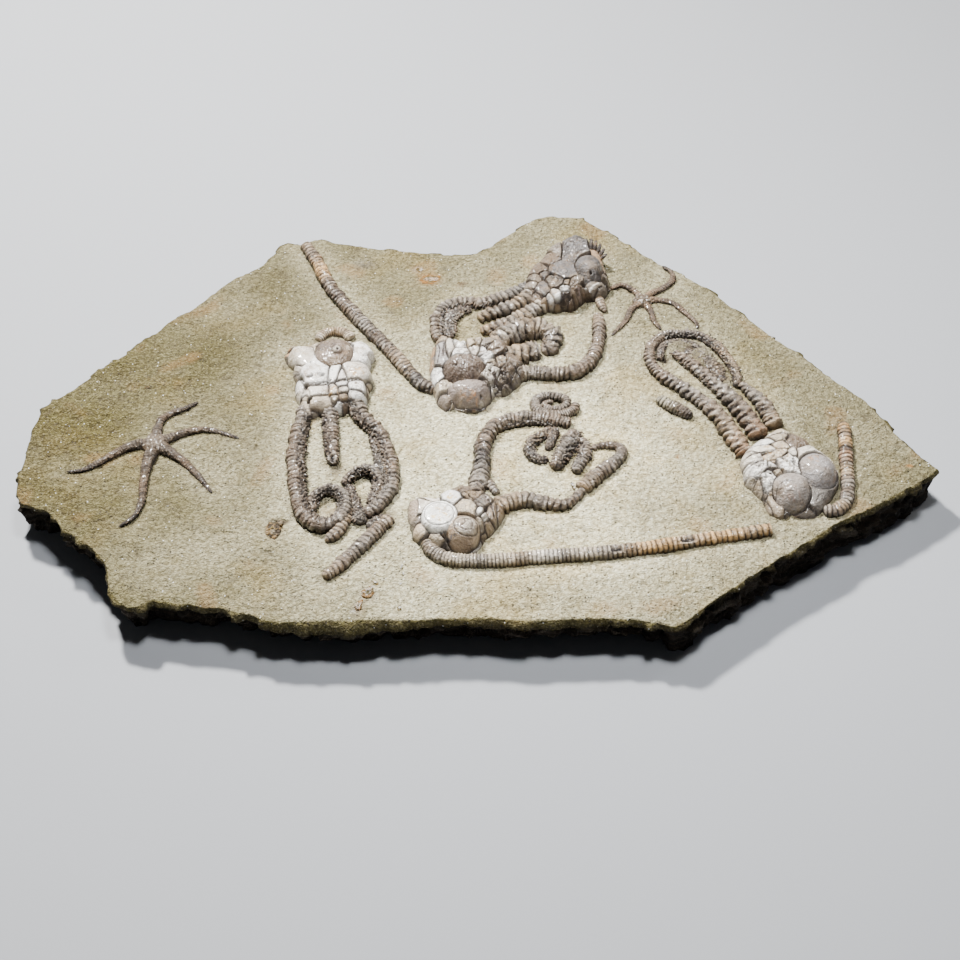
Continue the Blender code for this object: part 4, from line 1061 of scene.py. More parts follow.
CENTRE_MARKS = (
    ("mottle", ((-5.2, -5.2), 4.6, 0, (0.4, 0.25, 0.155))),
    ("spot", ((-2.6, -4.4), 0.9, 0, (0.6, 0.3, 0.14))),
    ("mottle", ((-3.6, -3.4), 2.2, 0, (0.56, 0.36, 0.22)), ((-5.6, 6.2), 3, 0, (0.17, 0.135, 0.11)),
     ((-8.6, -8), 3.2, 0, (0.4, 0.33, 0.25))),
    ("spot", ((0.9, -6.4), 1.3, -0.2, IVORY)),
    ("hole", ((0.4, -4.4), 0.62, -1, DARK)),
    ("crack", (((-12.4, 12), (-10.8, 11), (-10.4, 12.6)), 0.35, -0.8),
     (((-9.2, 16.4), (-7.8, 18.6)), 0.3, -0.6), (((-4.2, 17), (-3.2, 19.6)), 0.3, -0.6)),
    ("mottle", ((-8.4, 6.8), 3, -0.35, UMBER)),
    ("crack", (((6.8, 2.5), (10.6, 3.6), (14, 4.2)), 0.4, -0.7),
     (((2, 27), (5.4, 24.6), (9, 25.6)), 0.4, -0.9), (((8.4, 20), (11.4, 14.6), (12, 9.6)), 0.35, -0.8)),
    ("mottle", ((9, 10), 7, -0.5, (0.09, 0.065, 0.05)), ((-4, 28), 9, -0.3, (0.3, 0.25, 0.2)),
     ((14, 16), 6, -0.3, GREY)),
    ("crack", (((-20, 33), (-18.6, 26), (-19.6, 18)), 0.35, -0.6), (((-16.8, 31), (-17, 22)), 0.3, -0.5)),
    ("mottle", ((-18.4, 24), 5, 0, (0.16, 0.13, 0.12)), ((-4.7, 30.6), 3.4, 0, (0.46, 0.33, 0.19))),
    ("crack", (((-9, 33), (-7.2, 29), (-6.8, 25)), 0.3, -0.6),
     (((-2.4, 28.4), (1.6, 27.2), (4.6, 29.6)), 0.4, -0.9)),
    ("spot", ((-1.5, 27.8), 1.4, -0.3, SAND)),
)
centre_cup = make_cup(CENTRE_OUTLINE, CENTRE_PLATES, CENTRE_MARKS, seed=51)
keep_piece("centre_cup_plates", centre_cup, "centre_crinoid_cup", "centre_cup_calcite")

# %% [markdown]
# The stem keeps every disc, about two millimetres each, with an orange stain near its far end.

# %% Centre stem and arms
CENTRE_STEM = (
    (-88.5, 115.5), (-81.5, 101), (-74, 82), (-66.5, 69), (-58, 56), (-48, 41.5), (-40, 29.5), (-33, 18),
    (-27, 9.5), (-20, 5),
)
CENTRE_UPPER = ((6, 36), (14, 43), (22, 47), (29, 47.5), (34, 43), (33.5, 35), (29, 32))
CENTRE_MIDDLE = ((10, 27), (18, 29), (24, 31), (28, 32))
CENTRE_LOWER = ((14, 15), (22, 17), (32, 16.5), (42, 17), (49, 22), (54, 31), (56.5, 43), (57, 60))
make_ringed("centre_arm_calcite", (
    ("centre_stem_rings", "centre_crinoid_stem",
     run(CENTRE_STEM, (6.3, 6.8, 7, 7, 7, 7, 6.8),
         (TAN, UMBER, OCHRE, UMBER, (0.095, 0.066, 0.046), UMBER, GREY, (0.1, 0.07, 0.048), UMBER, TAN,
             DARK, UMBER), "stem", 2.3, 61, spots=0.9, crumple=1.6, grit=0.6)),
    ("centre_upper_rings", "centre_crinoid_upper_arm",
     run(CENTRE_UPPER, (10, 11.5, 11, 10, 8, 6.5), (TAN, GREY, TAN, GREY, UMBER), "saddle", 3.7, 62,
         crumple=2.8, spots=0.6, ends=(1.4, 2.4)),
     comb(CENTRE_UPPER, (9, 10, 9.5, 9, 8.5, 8), -1, (UMBER, GREY, TAN), 80, (1.4, 3.2), 63)),
    ("centre_middle_rings", "centre_crinoid_middle_arm",
     run(CENTRE_MIDDLE, (10, 10.5, 10.5, 9.5), (GREY, TAN, GREY), "saddle", 3.8, 64, crumple=2.8, spots=0.6,
         ends=(1.4, 1)),
     comb(CENTRE_MIDDLE, (9, 9, 9, 8), -1, (UMBER, GREY), 34, (1.2, 2.8), 65)),
    ("centre_lower_rings", "centre_crinoid_lower_arm",
     run(CENTRE_LOWER, (8, 7.5, 7.5, 7.5, 7, 6.5, 6.5, 5.5), (CREAM, GREY, UMBER, UMBER, UMBER, UMBER, TAN),
         "arm", 2, 66, crumple=1.3, ends=(1.4, 2)),
     comb(CENTRE_LOWER, (8, 7.5, 7.5, 7.5, 7, 6.5, 6.5, 5.5), 1, (UMBER, GREY), 90, (0.8, 1.9), 67,
         between=(0.1, 0.9))),
))

# %% [markdown]
# ## The top crinoid
# This one kept its grey clay. The great ball at its side has a small round hole, a boss stands in the
# middle, and a tuft of short spines crowns it.

# %% Top cup
TOP_OUTLINE = (
    (29.1, 96.9), (31.1, 102.3), (34.6, 107.2), (39.3, 110.2), (44.4, 113.9), (49.5, 115.5), (53.7, 112.1),
    (56.9, 110.6), (60.5, 106.4), (61.4, 97.6), (61.9, 90.8), (63.4, 85.3), (63.3, 78), (60.6, 72.1),
    (55.6, 70.8), (51.1, 70.8), (48.1, 66.3), (44.3, 63.1), (40.3, 63.8), (36.2, 61.9), (32.6, 62.5),
    (28.6, 61.9), (24.6, 65.8), (21.9, 71), (20.5, 75.5), (22.5, 84.1), (25.1, 92.1),
)
TOP_PLATES = (
    (53.6, 87.5, 7.1, 10.6, 12.2, 5, 0.12, LAVENDER), (57, 76, 5.9, 4.5, 7, 5, 0.12, GREY),
    (46.7, 100, 7.2, 9.8, 9.8, 2, 0.45, LAVENDER), (38.1, 100.9, 3.8, 6.1, 8.6, 1.2, 0.35, GREY),
    (35, 95.7, 4.6, 5.7, 8.2, 1.4, 0.3, UMBER), (40.3, 82.9, 6.1, 6.9, 10, 1.3, 0.12, LAVENDER),
    (28.2, 87.1, 3.7, 4.2, 7.8, 1.2, 0.2, UMBER), (26.7, 80.8, 3.2, 3.7, 7.4, 1, 0.2, GREY),
    (30.6, 82.9, 2.1, 2.6, 8, 0.6, 0.15, LAVENDER), (36.8, 76.7, 4.1, 5.5, 9.2, 1, 0.35, GREY),
    (29.9, 72, 3.4, 4.5, 7.8, 1.2, 0.15, LAVENDER), (25, 76.3, 3.2, 3.9, 7, 1, 0.2, GREY),
    (23.6, 71.1, 2.8, 3.9, 6, 1, 0.2, UMBER), (26.5, 67.3, 3.2, 3.9, 6.4, 1.2, 0.2, UMBER),
    (42, 74.9, 1.8, 2.4, 9.6, 0.5, 0.2, TAN), (40.9, 69.8, 2.6, 2.6, 9.2, 1, 0.1, WHITE),
    (36.9, 66.9, 2.4, 3.2, 8.8, 1.1, 0.1, WHITE), (34.3, 64.4, 1.9, 2.8, 8.2, 1, 0.1, WHITE),
    (30.8, 62, 3, 3.3, 7.6, 1.1, 0.08, TAN), (47.4, 68.5, 3.8, 6.2, 9, 2.2, 0.35, UMBER),
    (46.4, 73.7, 3.2, 3.2, 9.5, 1, 0.3, GREY), (41.5, 65.9, 2.6, 4.8, 8, 1.2, 0.3, DARK),
    (43.7, 62.1, 3.6, 4.4, 6, 1.6, 0.3, UMBER), (37.6, 60.8, 2.2, 3.8, 6, 1.2, 0.2, TAN),
    (33.6, 59.9, 2, 3.2, 5, 1, 0.2, TAN), (48.7, 65.9, 2.4, 3.8, 5.5, 1, 0.3, GREY),
    (56.8, 101.7, 3.1, 3.5, 8, 0.8, 0.15, (0.3, 0.2, 0.12)),
)
TOP_MARKS = (
    ("ring", ((54.2, 80.6), 2.4, 0.35, (0.19, 0.17, 0.162))),
    ("hole", ((54, 81.3), 0.8, -1.3, (0.01, 0.01, 0.01))),
    ("crack", (((51.6, 68.8), (55.2, 71.4), (59.5, 76.3)), 0.45, -0.7)),
    ("bead", ((41.1, 81.8), 1.5, 0.4, (0.24, 0.22, 0.21)), ((47.7, 68.9), 2.1, 1.3, (0.2, 0.15, 0.13))),
    ("mottle", ((31, 84), 8, -0.2, UMBER), ((47, 72), 5, -0.3, UMBER),
     ((47, 103), 6, 0, (0.17, 0.158, 0.155))),
    ("spot", ((42.4, 104.5), 1, -0.5, DARK)),
    ("crack", (((51.4, 72.6), (54.6, 74.6), (57.6, 77)), 0.5, 0.3, WHITE)),
    ("mottle", ((34.5, 66), 3.4, 0, (0.56, 0.47, 0.36)), ((38, 74), 5, -0.3, (0.12, 0.095, 0.075)),
     ((43, 90), 6, 0, (0.12, 0.11, 0.11))),
    ("crack", (((35, 79), (39.4, 76), (43, 77)), 0.4, -0.8)),
)
top_cup = make_cup(TOP_OUTLINE, TOP_PLATES, TOP_MARKS, seed=71, crisp=0.45)
rng = random.Random(72)
SPINES = (
    ((53.6, 101), (-0.6, 7), 10.6), ((55, 101.5), (0.6, 6.6), 10.6), ((56.4, 101.5), (1.6, 5.8), 10),
    ((57.8, 100.8), (2.4, 4.6), 9.2), ((59, 99.6), (3, 3.2), 8.2), ((59.8, 98), (3.2, 1.6), 7.2),
)
for (root_x, root_y), (lean_x, lean_y), tip in SPINES:
    made = bmesh.ops.create_grid(top_cup, x_segments=8, y_segments=14, size=0.5)["verts"]
    grid = np.array([vert.co[:2] for vert in made]) + 0.5
    along, turn = grid[:, 1], grid[:, 0] * 2 * math.pi
    thick = 1.2 * np.sqrt(unit(1 - along**3)) * (along > 0)
    thick = thick * (1 + 0.1 * np.cos(along * 44))
    places = placed(
        root_x + lean_x * along + np.cos(turn) * thick,
        root_y + lean_y * along**1.4 + np.sin(turn) * thick,
        5 + (tip - 5) * np.sin(along * 1.5))
    tone = painted(np.array(OCHRE), DARK, smooth_step(0.1, 0.45, along)) * rng.uniform(0.7, 1.3)
    move_and_paint(top_cup, made, places, tone, 0.25 * (1 - along))
    bmesh.ops.remove_doubles(top_cup, verts=made, dist=WELD)
keep_piece("top_cup_plates", top_cup, "top_crinoid_cup", "top_cup_calcite")

# %% [markdown]
# Its arms are rows of swollen knobs. Two of them lie side by side and sweep to the left, and the upper one
# loops round a patch of feathered ribs.

# %% Top arms
TOP_LOOP = (
    (24, 82), (18, 77), (9, 72), (0, 69), (-8, 69.5), (-15, 67.5), (-20, 61), (-21.5, 53), (-21, 45),
    (-20, 40),
)
TOP_RIBS = ((-4, 65), (-10, 63), (-14.5, 56), (-15, 49), (-14, 43))
TOP_MIDDLE = ((29, 79), (22, 70.5), (13, 64), (5, 60), (-1, 57))
TOP_LOWER = ((36, 72), (29, 65), (20, 57.5), (10, 51), (0, 47.5))
make_ringed("top_arm_calcite", (
    ("top_middle_rings", "top_crinoid_middle_arm",
     run(TOP_MIDDLE, (9, 8.5, 8, 8, 5.5), (GREY, GREY, TAN, GREY, UMBER, SAND), "beaded", 3.2, 81,
         crumple=1.4)),
    ("top_upper_rings", "top_crinoid_upper_arm",
     run(TOP_LOOP, (7, 7, 6.5, 6, 6, 5.5, 5), (LAVENDER, GREY, UMBER, GREY, UMBER, UMBER), "beaded", 2.7,
         82),
     run(TOP_RIBS, (5, 7, 8, 7, 5), (UMBER, GREY, UMBER), "beaded", 1.7, 83, inner=2, lift=0.05, tall=0.6),
     comb(TOP_LOOP, (7, 7, 6.5, 6, 6, 5.5, 5), 1, (UMBER, GREY, DARK), 130, (2, 4.6), 84,
         between=(0.3, 0.98), sweep=0.8),
     comb(TOP_RIBS, (5, 7, 8, 7, 5), 1, (UMBER, GREY), 60, (1.2, 2.6), 85)),
    ("top_lower_rings", "top_crinoid_lower_arm",
     run(TOP_LOWER, (8, 8.5, 8, 7.5, 5), (WHITE, CREAM, GREY, TAN, GREY, UMBER, SAND), "beaded", 3.2, 86,
         crumple=1.4),
     comb(TOP_LOWER, (8, 8.5, 8, 7.5, 5), 1, (UMBER, GREY), 60, (0.8, 1.8), 87)),
))

make_ringed("top_stub_calcite", (
    ("top_stub_rings", "top_crinoid_stem_stub",
     run(((58, 72), (59, 67), (60.5, 62.5)), (4.5, 4.5, 3), (TAN, UMBER), "stem", 1.8, 88, ends=(1, 2.2))),
))

# %% [markdown]
# ## The front crinoid
# A pale round plate with a raised rim lies beside a tan ball whose end has broken to a flat facet. Its marks
# come from the same few kinds as on the other cups, so only the list is new.

# %% Front cup
FRONT_OUTLINE = (
    (-30.9, -71), (-30.4, -68), (-28.3, -67), (-26.1, -69.5), (-23.2, -70.4), (-19.7, -69), (-16.2, -65.5),
    (-12.8, -62), (-7.9, -57), (-3.6, -57.5), (0.7, -59.5), (5.7, -64), (9.2, -69.5), (10.7, -72.9),
    (9.5, -76.9), (5.9, -83.1), (2.1, -87.4), (0.7, -91.2), (-1.7, -95.4), (-5.5, -95.4), (-10.3, -94.9),
    (-14.5, -94), (-18, -93.1), (-22.2, -90.2), (-25.6, -90.2), (-28.2, -87.4), (-28.6, -83.6),
    (-29.8, -78.8),
)
FRONT_PLATES = (
    (-17, -80.9, 7.7, 8.4, 9.6, 3.5, 0.08, (0.97, 0.95, 0.9)),
    (-7.2, -87.2, 7.4, 8.4, 10.2, 5, 0.05, (0.36, 0.265, 0.175)),
    (-12.2, -70.5, 3.4, 3.5, 8.8, 1.2, 0.1, WHITE), (-5.6, -77.9, 4.3, 5.6, 9.2, 1.4, 0.12, CREAM),
    (-0.3, -78.7, 1.9, 2.1, 8.8, 0.8, 0.1, WHITE), (2.2, -81.4, 2.1, 2.9, 8, 0.9, 0.1, IVORY),
    (1.4, -71.9, 3.5, 3.9, 7.5, 1, 0.35, GREY), (0.3, -84.9, 2.5, 3.4, 7, 1, 0.3, CREAM),
    (3.8, -84, 2.8, 3.8, 5.5, 1.2, 0.35, TAN), (5.6, -76.8, 3.1, 5.3, 6.5, 1.4, 0.25, TAN),
    (-3.5, -68.2, 3.1, 2.9, 7.2, 1, 0.35, TAN), (-7.8, -63.8, 3.6, 3, 6.6, 1, 0.3, UMBER),
    (-20.7, -71.3, 3.2, 2.2, 7.6, 0.8, 0.15, IVORY),
    (-28.3, -74, 2.4, 6.6, 6.2, 3, 0.1, (0.42, 0.33, 0.25)),
    (-25.3, -86.2, 2.9, 3.6, 6, 3, 0.06, (0.48, 0.37, 0.25)),
    (-18.9, -90.6, 3.6, 4.6, 6.6, 2.2, 0.06, CREAM), (-15, -95.3, 2.8, 2.3, 3.5, 1, 0.4, GREY),
    (8.4, -76.4, 2.5, 4.9, 5.6, 1.5, 0.15, TAN), (-0.7, -92.4, 2.4, 4.7, 2.2, 0.8, 0.15, IVORY),
    (2.1, -87.5, 2.8, 2.9, 3, 1, 0.3, TAN), (-21.8, -87.8, 2.1, 2.3, 6, 0.8, 0.1, GREY),
    (-15.9, -88.5, 2, 1.9, 6.5, 0.6, 0.1, TAN),
)
FRONT_MARKS = (
    ("ring", ((-17, -80.9), 6.3, -0.35)),
    ("mottle", ((-16.4, -81.4), 4.6, -0.08, (0.86, 0.66, 0.38))),
    ("spot", ((-19.6, -80.2), 2, 0, WHITE), ((-6, -86.8), 4.9, -0.15, (0.5, 0.44, 0.36))),
    ("ring", ((-6, -86.8), 5, -0.45), ((-6, -86.8), 3.1, -0.15)),
    ("mottle", ((-6, -86.8), 4, 0, (0.3, 0.25, 0.2))),
    ("crack", (((-7.8, -88.4), (-6, -86.2), (-6.6, -84), (-3.6, -83.6)), 0.3, -0.4)),
    ("mottle", ((-11.4, -89.4), 3, -0.1, (0.14, 0.12, 0.11))),
    ("hole", ((-14.6, -95), 1.5, -1.6, DARK)),
    ("mottle", ((-12, -70.2), 2.6, 0, (0.78, 0.58, 0.3)), ((-5.6, -77), 4, 0, (0.74, 0.58, 0.38)),
     ((2, -72), 6, -0.3, (0.14, 0.105, 0.085))),
    ("crack", (((-8.8, -66), (-3, -70), (2.6, -76)), 0.4, -0.8),
     (((1, -66), (4.6, -71.6), (6, -79)), 0.35, -0.7)),
)
front_cup = make_cup(FRONT_OUTLINE, FRONT_PLATES, FRONT_MARKS, seed=91)
keep_piece("front_cup_plates", front_cup, "front_crinoid_cup", "front_cup_calcite")

# %% [markdown]
# The stem leaves below and runs along the whole front, where narrow and wide discs take turns. Two of its
# discs are broken out, which is cheaper to press into the run than to model apart.

# %% Front stem and arms
FRONT_STEM = (
    (-22, -89), (-20, -94), (-14, -98.5), (-4, -100), (10, -99.5), (28, -97.5), (50, -95.5), (70, -92.5),
    (90, -88.5), (106, -85.5), (122, -82),
)
FRONT_ARCH = (
    (-2.6, -63), (-1, -56), (0.5, -46), (1, -36), (2.5, -27), (7, -19), (14, -14.5), (24, -13), (34, -15),
    (41, -17),
)
FRONT_COIL = (
    (43.5, -4), (42, -8.5), (37, -11), (31, -11.3), (26, -8), (25, -3), (28, 0.3), (33, 1), (38, -0.6),
    (39.5, -4), (37, -7.4), (32.5, -7.8), (29.3, -5.4), (30.3, -3), (33.5, -2.6),
)
FRONT_HOOK = ((7, -70), (13, -66.5), (20, -65), (28, -67), (36, -67.5), (41.5, -62.5), (45, -57))
HOOK_END = ((44, -58.6), (51, -50), (57, -44), (62, -37), (61, -32), (55, -31), (49, -32.5))
make_ringed("front_stem_calcite", (
    ("front_stem_rings", "front_crinoid_stem",
     run(FRONT_STEM, (6.3, 6.5, 6.5, 6.5, 6.5, 6.3, 6, 6),
         (TAN, GREY, CREAM, GREY, CREAM, TAN, IVORY, GREY, CREAM, GREY, TAN, OCHRE, OCHRE, TAN, OCHRE,
             OCHRE, SAND, OCHRE), "stem", (1.3, 1.5, 1.8, 2.1, 2.4, 2.7), 101, spots=0.35, crumple=0.8,
         voids=((0.555, 2.7), (0.757, 3.4)), ends=(1.4, 0.5))),
))

LEFT_TWIG = ((33, -20), (27, -25), (22.5, -30), (22, -36), (26, -40.5), (30, -39))
SIDE_TWIG = ((34, -20), (32, -27), (30, -34))
MIDDLE_TWIG = ((42, -22), (41, -28), (37, -36), (32.5, -46))
RIGHT_TWIG = ((42, -27), (46, -31), (46, -37), (44, -42), (41, -48))
make_ringed("front_arm_calcite", (
    ("front_upper_rings", "front_crinoid_upper_arm",
     run(FRONT_ARCH, (7, 8, 7.5, 7, 7, 7, 6.8, 6.4, 6, 5.5),
         (UMBER, GREY, DARK, UMBER, UMBER, GREY, UMBER, UMBER), "saddle", (3.6, 3.4, 2.9, 2.3, 1.8, 1.7),
         102, crumple=2.2, rise=(-2, 0, 0, 0, 0, 0, 0, 0)),
     run(((8, -20.5), (16, -17), (25, -15.6), (34, -17.6)), (2.5, 3.6, 4, 3), (UMBER, GREY), "beaded", 1.5,
         117, inner=2)),
    ("front_coil_rings", "front_crinoid_coil",
     run(FRONT_COIL, (4.5, 5, 5, 5, 5, 5, 4.8, 4.6, 4.4, 4.2, 4, 3.6, 3.2, 2.8, 2.2), (UMBER, GREY, UMBER),
         "loose", 1.25, 103, rise=(0, 0, 0.2, 0.6, 0.8, 0.8, 0.5), step=0.26, ends=(1, 1.2), crumple=0.8)),
    ("left_branch_rings", "front_crinoid_left_branch",
     run(LEFT_TWIG, (3.6, 5, 5.6, 5.6, 5, 3.6), (UMBER, TAN, GREY, UMBER), "beaded", 1.5, 104, inner=2,
         crumple=2.4),
     run(SIDE_TWIG, (4.5, 5, 4), (UMBER, UMBER), "beaded", 1.5, 105, inner=2),
     comb(LEFT_TWIG, (4, 4.5, 4.5, 4.5, 4, 3), 1, (UMBER, DARK), 70, (1, 2.4), 106),
     comb(LEFT_TWIG, (4, 4.5, 4.5, 4.5, 4, 3), -1, (UMBER, GREY), 60, (0.8, 1.8), 107)),
    ("middle_branch_rings", "front_crinoid_middle_branch",
     run(MIDDLE_TWIG, (6, 8.5, 7, 5), (UMBER, GREY, UMBER), "loose", 1.5, 108, inner=-1, crumple=2.4),
     comb(MIDDLE_TWIG, (6, 8, 6.5, 4), 1, (UMBER, DARK), 70, (1.4, 3.2), 109, sweep=0.3),
     comb(MIDDLE_TWIG, (6, 8, 6.5, 4), -1, (UMBER, GREY), 70, (1.4, 3.2), 110, sweep=0.3)),
    ("right_branch_rings", "front_crinoid_right_branch",
     run(RIGHT_TWIG, (4.4, 5.4, 6, 5.4, 4), (UMBER, GREY), "loose", 1.6, 111, inner=1, crumple=2.4),
     comb(RIGHT_TWIG, (4.5, 6, 3.5), 1, (UMBER, DARK), 30, (1, 2.4), 112, sweep=0.3),
     comb(RIGHT_TWIG, (4.5, 6, 3.5), -1, (UMBER, GREY), 30, (1, 2.4), 113, sweep=0.3)),
    ("front_lower_rings", "front_crinoid_lower_arm",
     run(FRONT_HOOK, (8, 8, 7.5, 7, 5.5, 4.4, 3.6), (TAN, TAN, GREY, UMBER, UMBER, GREY), "arm", 2.6, 114,
         crumple=1.6, ends=(1.4, 1.6)),
     run(HOOK_END, (6.8, 7, 6.5, 6, 5, 4, 3), (TAN, UMBER, GREY, UMBER, UMBER), "arm", 2, 118,
         ends=(0.4, 1.6), crumple=1.2)),
    ("side_stub_rings", "front_crinoid_side_stub",
     run(((3.5, -53), (5.5, -57.5), (7.5, -61)), (4, 4, 4), (UMBER, GREY), "stem", 1.8, 116, ends=(1, 1.4))),
))

# %% [markdown]
# ## The right crinoid
# The palest cup: its plates are crackled like old glaze round two smooth grey balls.

# %% Right cup
RIGHT_OUTLINE = (
    (113.4, -42.7), (115.1, -38.5), (119.2, -33.7), (123.9, -30), (128.9, -25.2), (133, -22.5),
    (136.6, -25.7), (140.9, -28.9), (144.6, -33.7), (147.6, -38.5), (150.7, -41.6), (153.8, -45.8),
    (155.4, -51.4), (154.3, -57.1), (151.9, -61.1), (147.6, -68.1), (141.6, -74.9), (136.6, -75.1),
    (131.9, -73.9), (126.3, -76.1), (122.4, -73.9), (120.6, -65.1), (116.7, -59.1), (114.1, -56),
    (113.9, -48.9),
)
RIGHT_PLATES = (
    (132.6, -63.6, 8.2, 9.8, 11, 5, 0.04, (0.3, 0.262, 0.232)),
    (145.6, -51.4, 8.6, 10.6, 10.2, 4, 0.05, (0.3, 0.275, 0.262)),
    (140.7, -52, 3.2, 4.1, 9.6, 1.5, 0.1, IVORY),
    (144.4, -67.7, 4.4, 5.6, 5, 1, 0.25, (0.15, 0.135, 0.118)), (138.6, -74.1, 3.5, 2.4, 2, 1, 0.1, GREY),
    (123.2, -70.5, 2.6, 8.4, 4.2, 1, 0.08, (0.4, 0.32, 0.22)),
    (119.1, -62.5, 2.9, 4.5, 6, 0.9, 0.3, (0.5, 0.42, 0.32)), (123, -60.5, 3.9, 5, 8, 1, 0.5, WHITE),
    (121.4, -65, 2.1, 3, 5, 0.8, 0.2, GREY), (132.3, -51.6, 4.7, 6.2, 9.2, 1.2, 0.45, WHITE),
    (126.5, -52.4, 2.1, 2.6, 9, 1, 0.4, WHITE), (128.1, -56.2, 2.5, 2.6, 9, 0.8, 0.2, CREAM),
    (127.5, -44.8, 4.7, 2.9, 8.6, 0.9, 0.32, CREAM), (117.7, -52, 4.5, 4.6, 7.6, 1.1, 0.42, WHITE),
    (117.8, -46.2, 3.6, 2.6, 7.4, 0.8, 0.32, IVORY), (124.8, -41.3, 4.3, 2.6, 8.2, 0.8, 0.1, IVORY),
    (115.5, -57, 2.9, 3.6, 6, 1, 0.4, IVORY), (130.8, -38.9, 3.6, 2.6, 8.4, 0.8, 0.12, CREAM),
    (124.5, -35.4, 3.6, 2.1, 7.6, 0.7, 0.1, WHITE), (131.3, -33, 3.6, 2.3, 7.8, 0.8, 0.1, CREAM),
    (131.3, -27.8, 3.3, 2.1, 7.4, 0.8, 0.1, CREAM), (137.6, -35.9, 4.2, 4, 8, 1.8, 0.15, UMBER),
    (135.6, -43.9, 1.6, 2.1, 9.2, 1, 0.1, IVORY), (141.4, -44.3, 4, 4.6, 8.6, 1.3, 0.1, IVORY),
)
RIGHT_MARKS = (
    ("spot", ((127.2, -66.4), 1.4, -0.4, (0.2, 0.15, 0.11))),
    ("mottle", ((128.6, -65.6), 3.2, -0.25, (0.46, 0.38, 0.3))),
    ("crack", (((125.4, -67.6), (126.2, -64.2), (129.4, -62.6), (132.2, -63.4)), 0.3, -0.4)),
    ("mottle", ((131.5, -69), 4.2, 0, (0.3, 0.23, 0.19)), ((143.5, -48.5), 3.2, 0, (0.3, 0.19, 0.13))),
    ("crack", (((120.6, -64), (122.6, -70), (124.8, -77)), 0.3, -0.5),
     (((111.5, -51), (118.5, -49.4), (126, -47.4), (133, -47)), 0.32, -0.8),
     (((113.5, -44.6), (120, -43.6), (127, -42), (134, -41)), 0.32, -0.8),
     (((117.5, -38.6), (124.5, -38), (130, -36.2), (135, -32.6)), 0.32, -0.8),
     (((122, -33.4), (128, -31.2), (133, -29.4)), 0.32, -0.7)),
    ("spot", ((123.4, -76), 1.8, 0, (0.5, 0.24, 0.1))),
    ("hole", ((127.7, -53.3), 0.8, -0.8, DARK), ((124, -56.6), 0.9, -0.9, UMBER)),
    ("mottle", ((121, -51), 6, -0.45, (0.5, 0.46, 0.4)), ((128, -44), 7, -0.25, (0.72, 0.55, 0.36))),
    ("spot", ((125.6, -43.6), 0.9, -0.3, OCHRE), ((129.4, -55.2), 1.1, -0.4, (0.42, 0.3, 0.18))),
    ("mottle", ((131, -52), 4.6, -0.35, (0.52, 0.46, 0.38))),
)
right_cup = make_cup(RIGHT_OUTLINE, RIGHT_PLATES, RIGHT_MARKS, seed=121, crisp=0.5)
keep_piece("right_cup_plates", right_cup, "right_crinoid_cup", "right_cup_calcite")

# %% [markdown]
# The arms lie together and their plates interlock in a zigzag, which the zigzag form gives. The stem leaves
# at the foot and turns straight back up.

# %% Right stem and arms
RIGHT_STEM = ((145.5, -71.5), (151, -71), (156, -66), (158.5, -56), (160, -42), (162, -27), (162.5, -17))
RIGHT_HOOK = (
    (117, -38), (113, -28), (108, -14), (101, -3), (92, 7), (83.5, 16), (79.5, 25), (80.5, 36), (87, 43.5),
    (96, 45), (105, 43), (112, 35), (116.5, 25), (118.5, 16), (118, 8),
)
HOOK_MAIN, HOOK_COMB = RIGHT_HOOK[:9], RIGHT_HOOK[7:]
RIGHT_MIDDLE = ((124, -27), (120, -14), (113, 0), (105, 13), (97, 25), (91, 32))
RIGHT_SHORT = ((132, -20), (129, -7), (124, 3), (119.5, 10))
RIGHT_HOOK_WIDTHS = (8, 8, 7.5, 7, 7, 6.5, 6, 6, 6, 6, 6, 6, 5.5, 5, 4)
make_ringed("right_stem_calcite", (
    ("right_stem_rings", "right_crinoid_stem",
     run(RIGHT_STEM, (5.5, 6, 6, 6, 6, 6, 5.5),
         (GREY, UMBER, TAN, GREY, UMBER, GREY, UMBER, SAND, UMBER, (0.3, 0.165, 0.085), DARK, OCHRE, UMBER,
             OCHRE, DARK), "stem", (1.7, 2.1, 2.4, 2.4), 131, crumple=1.3)),
))

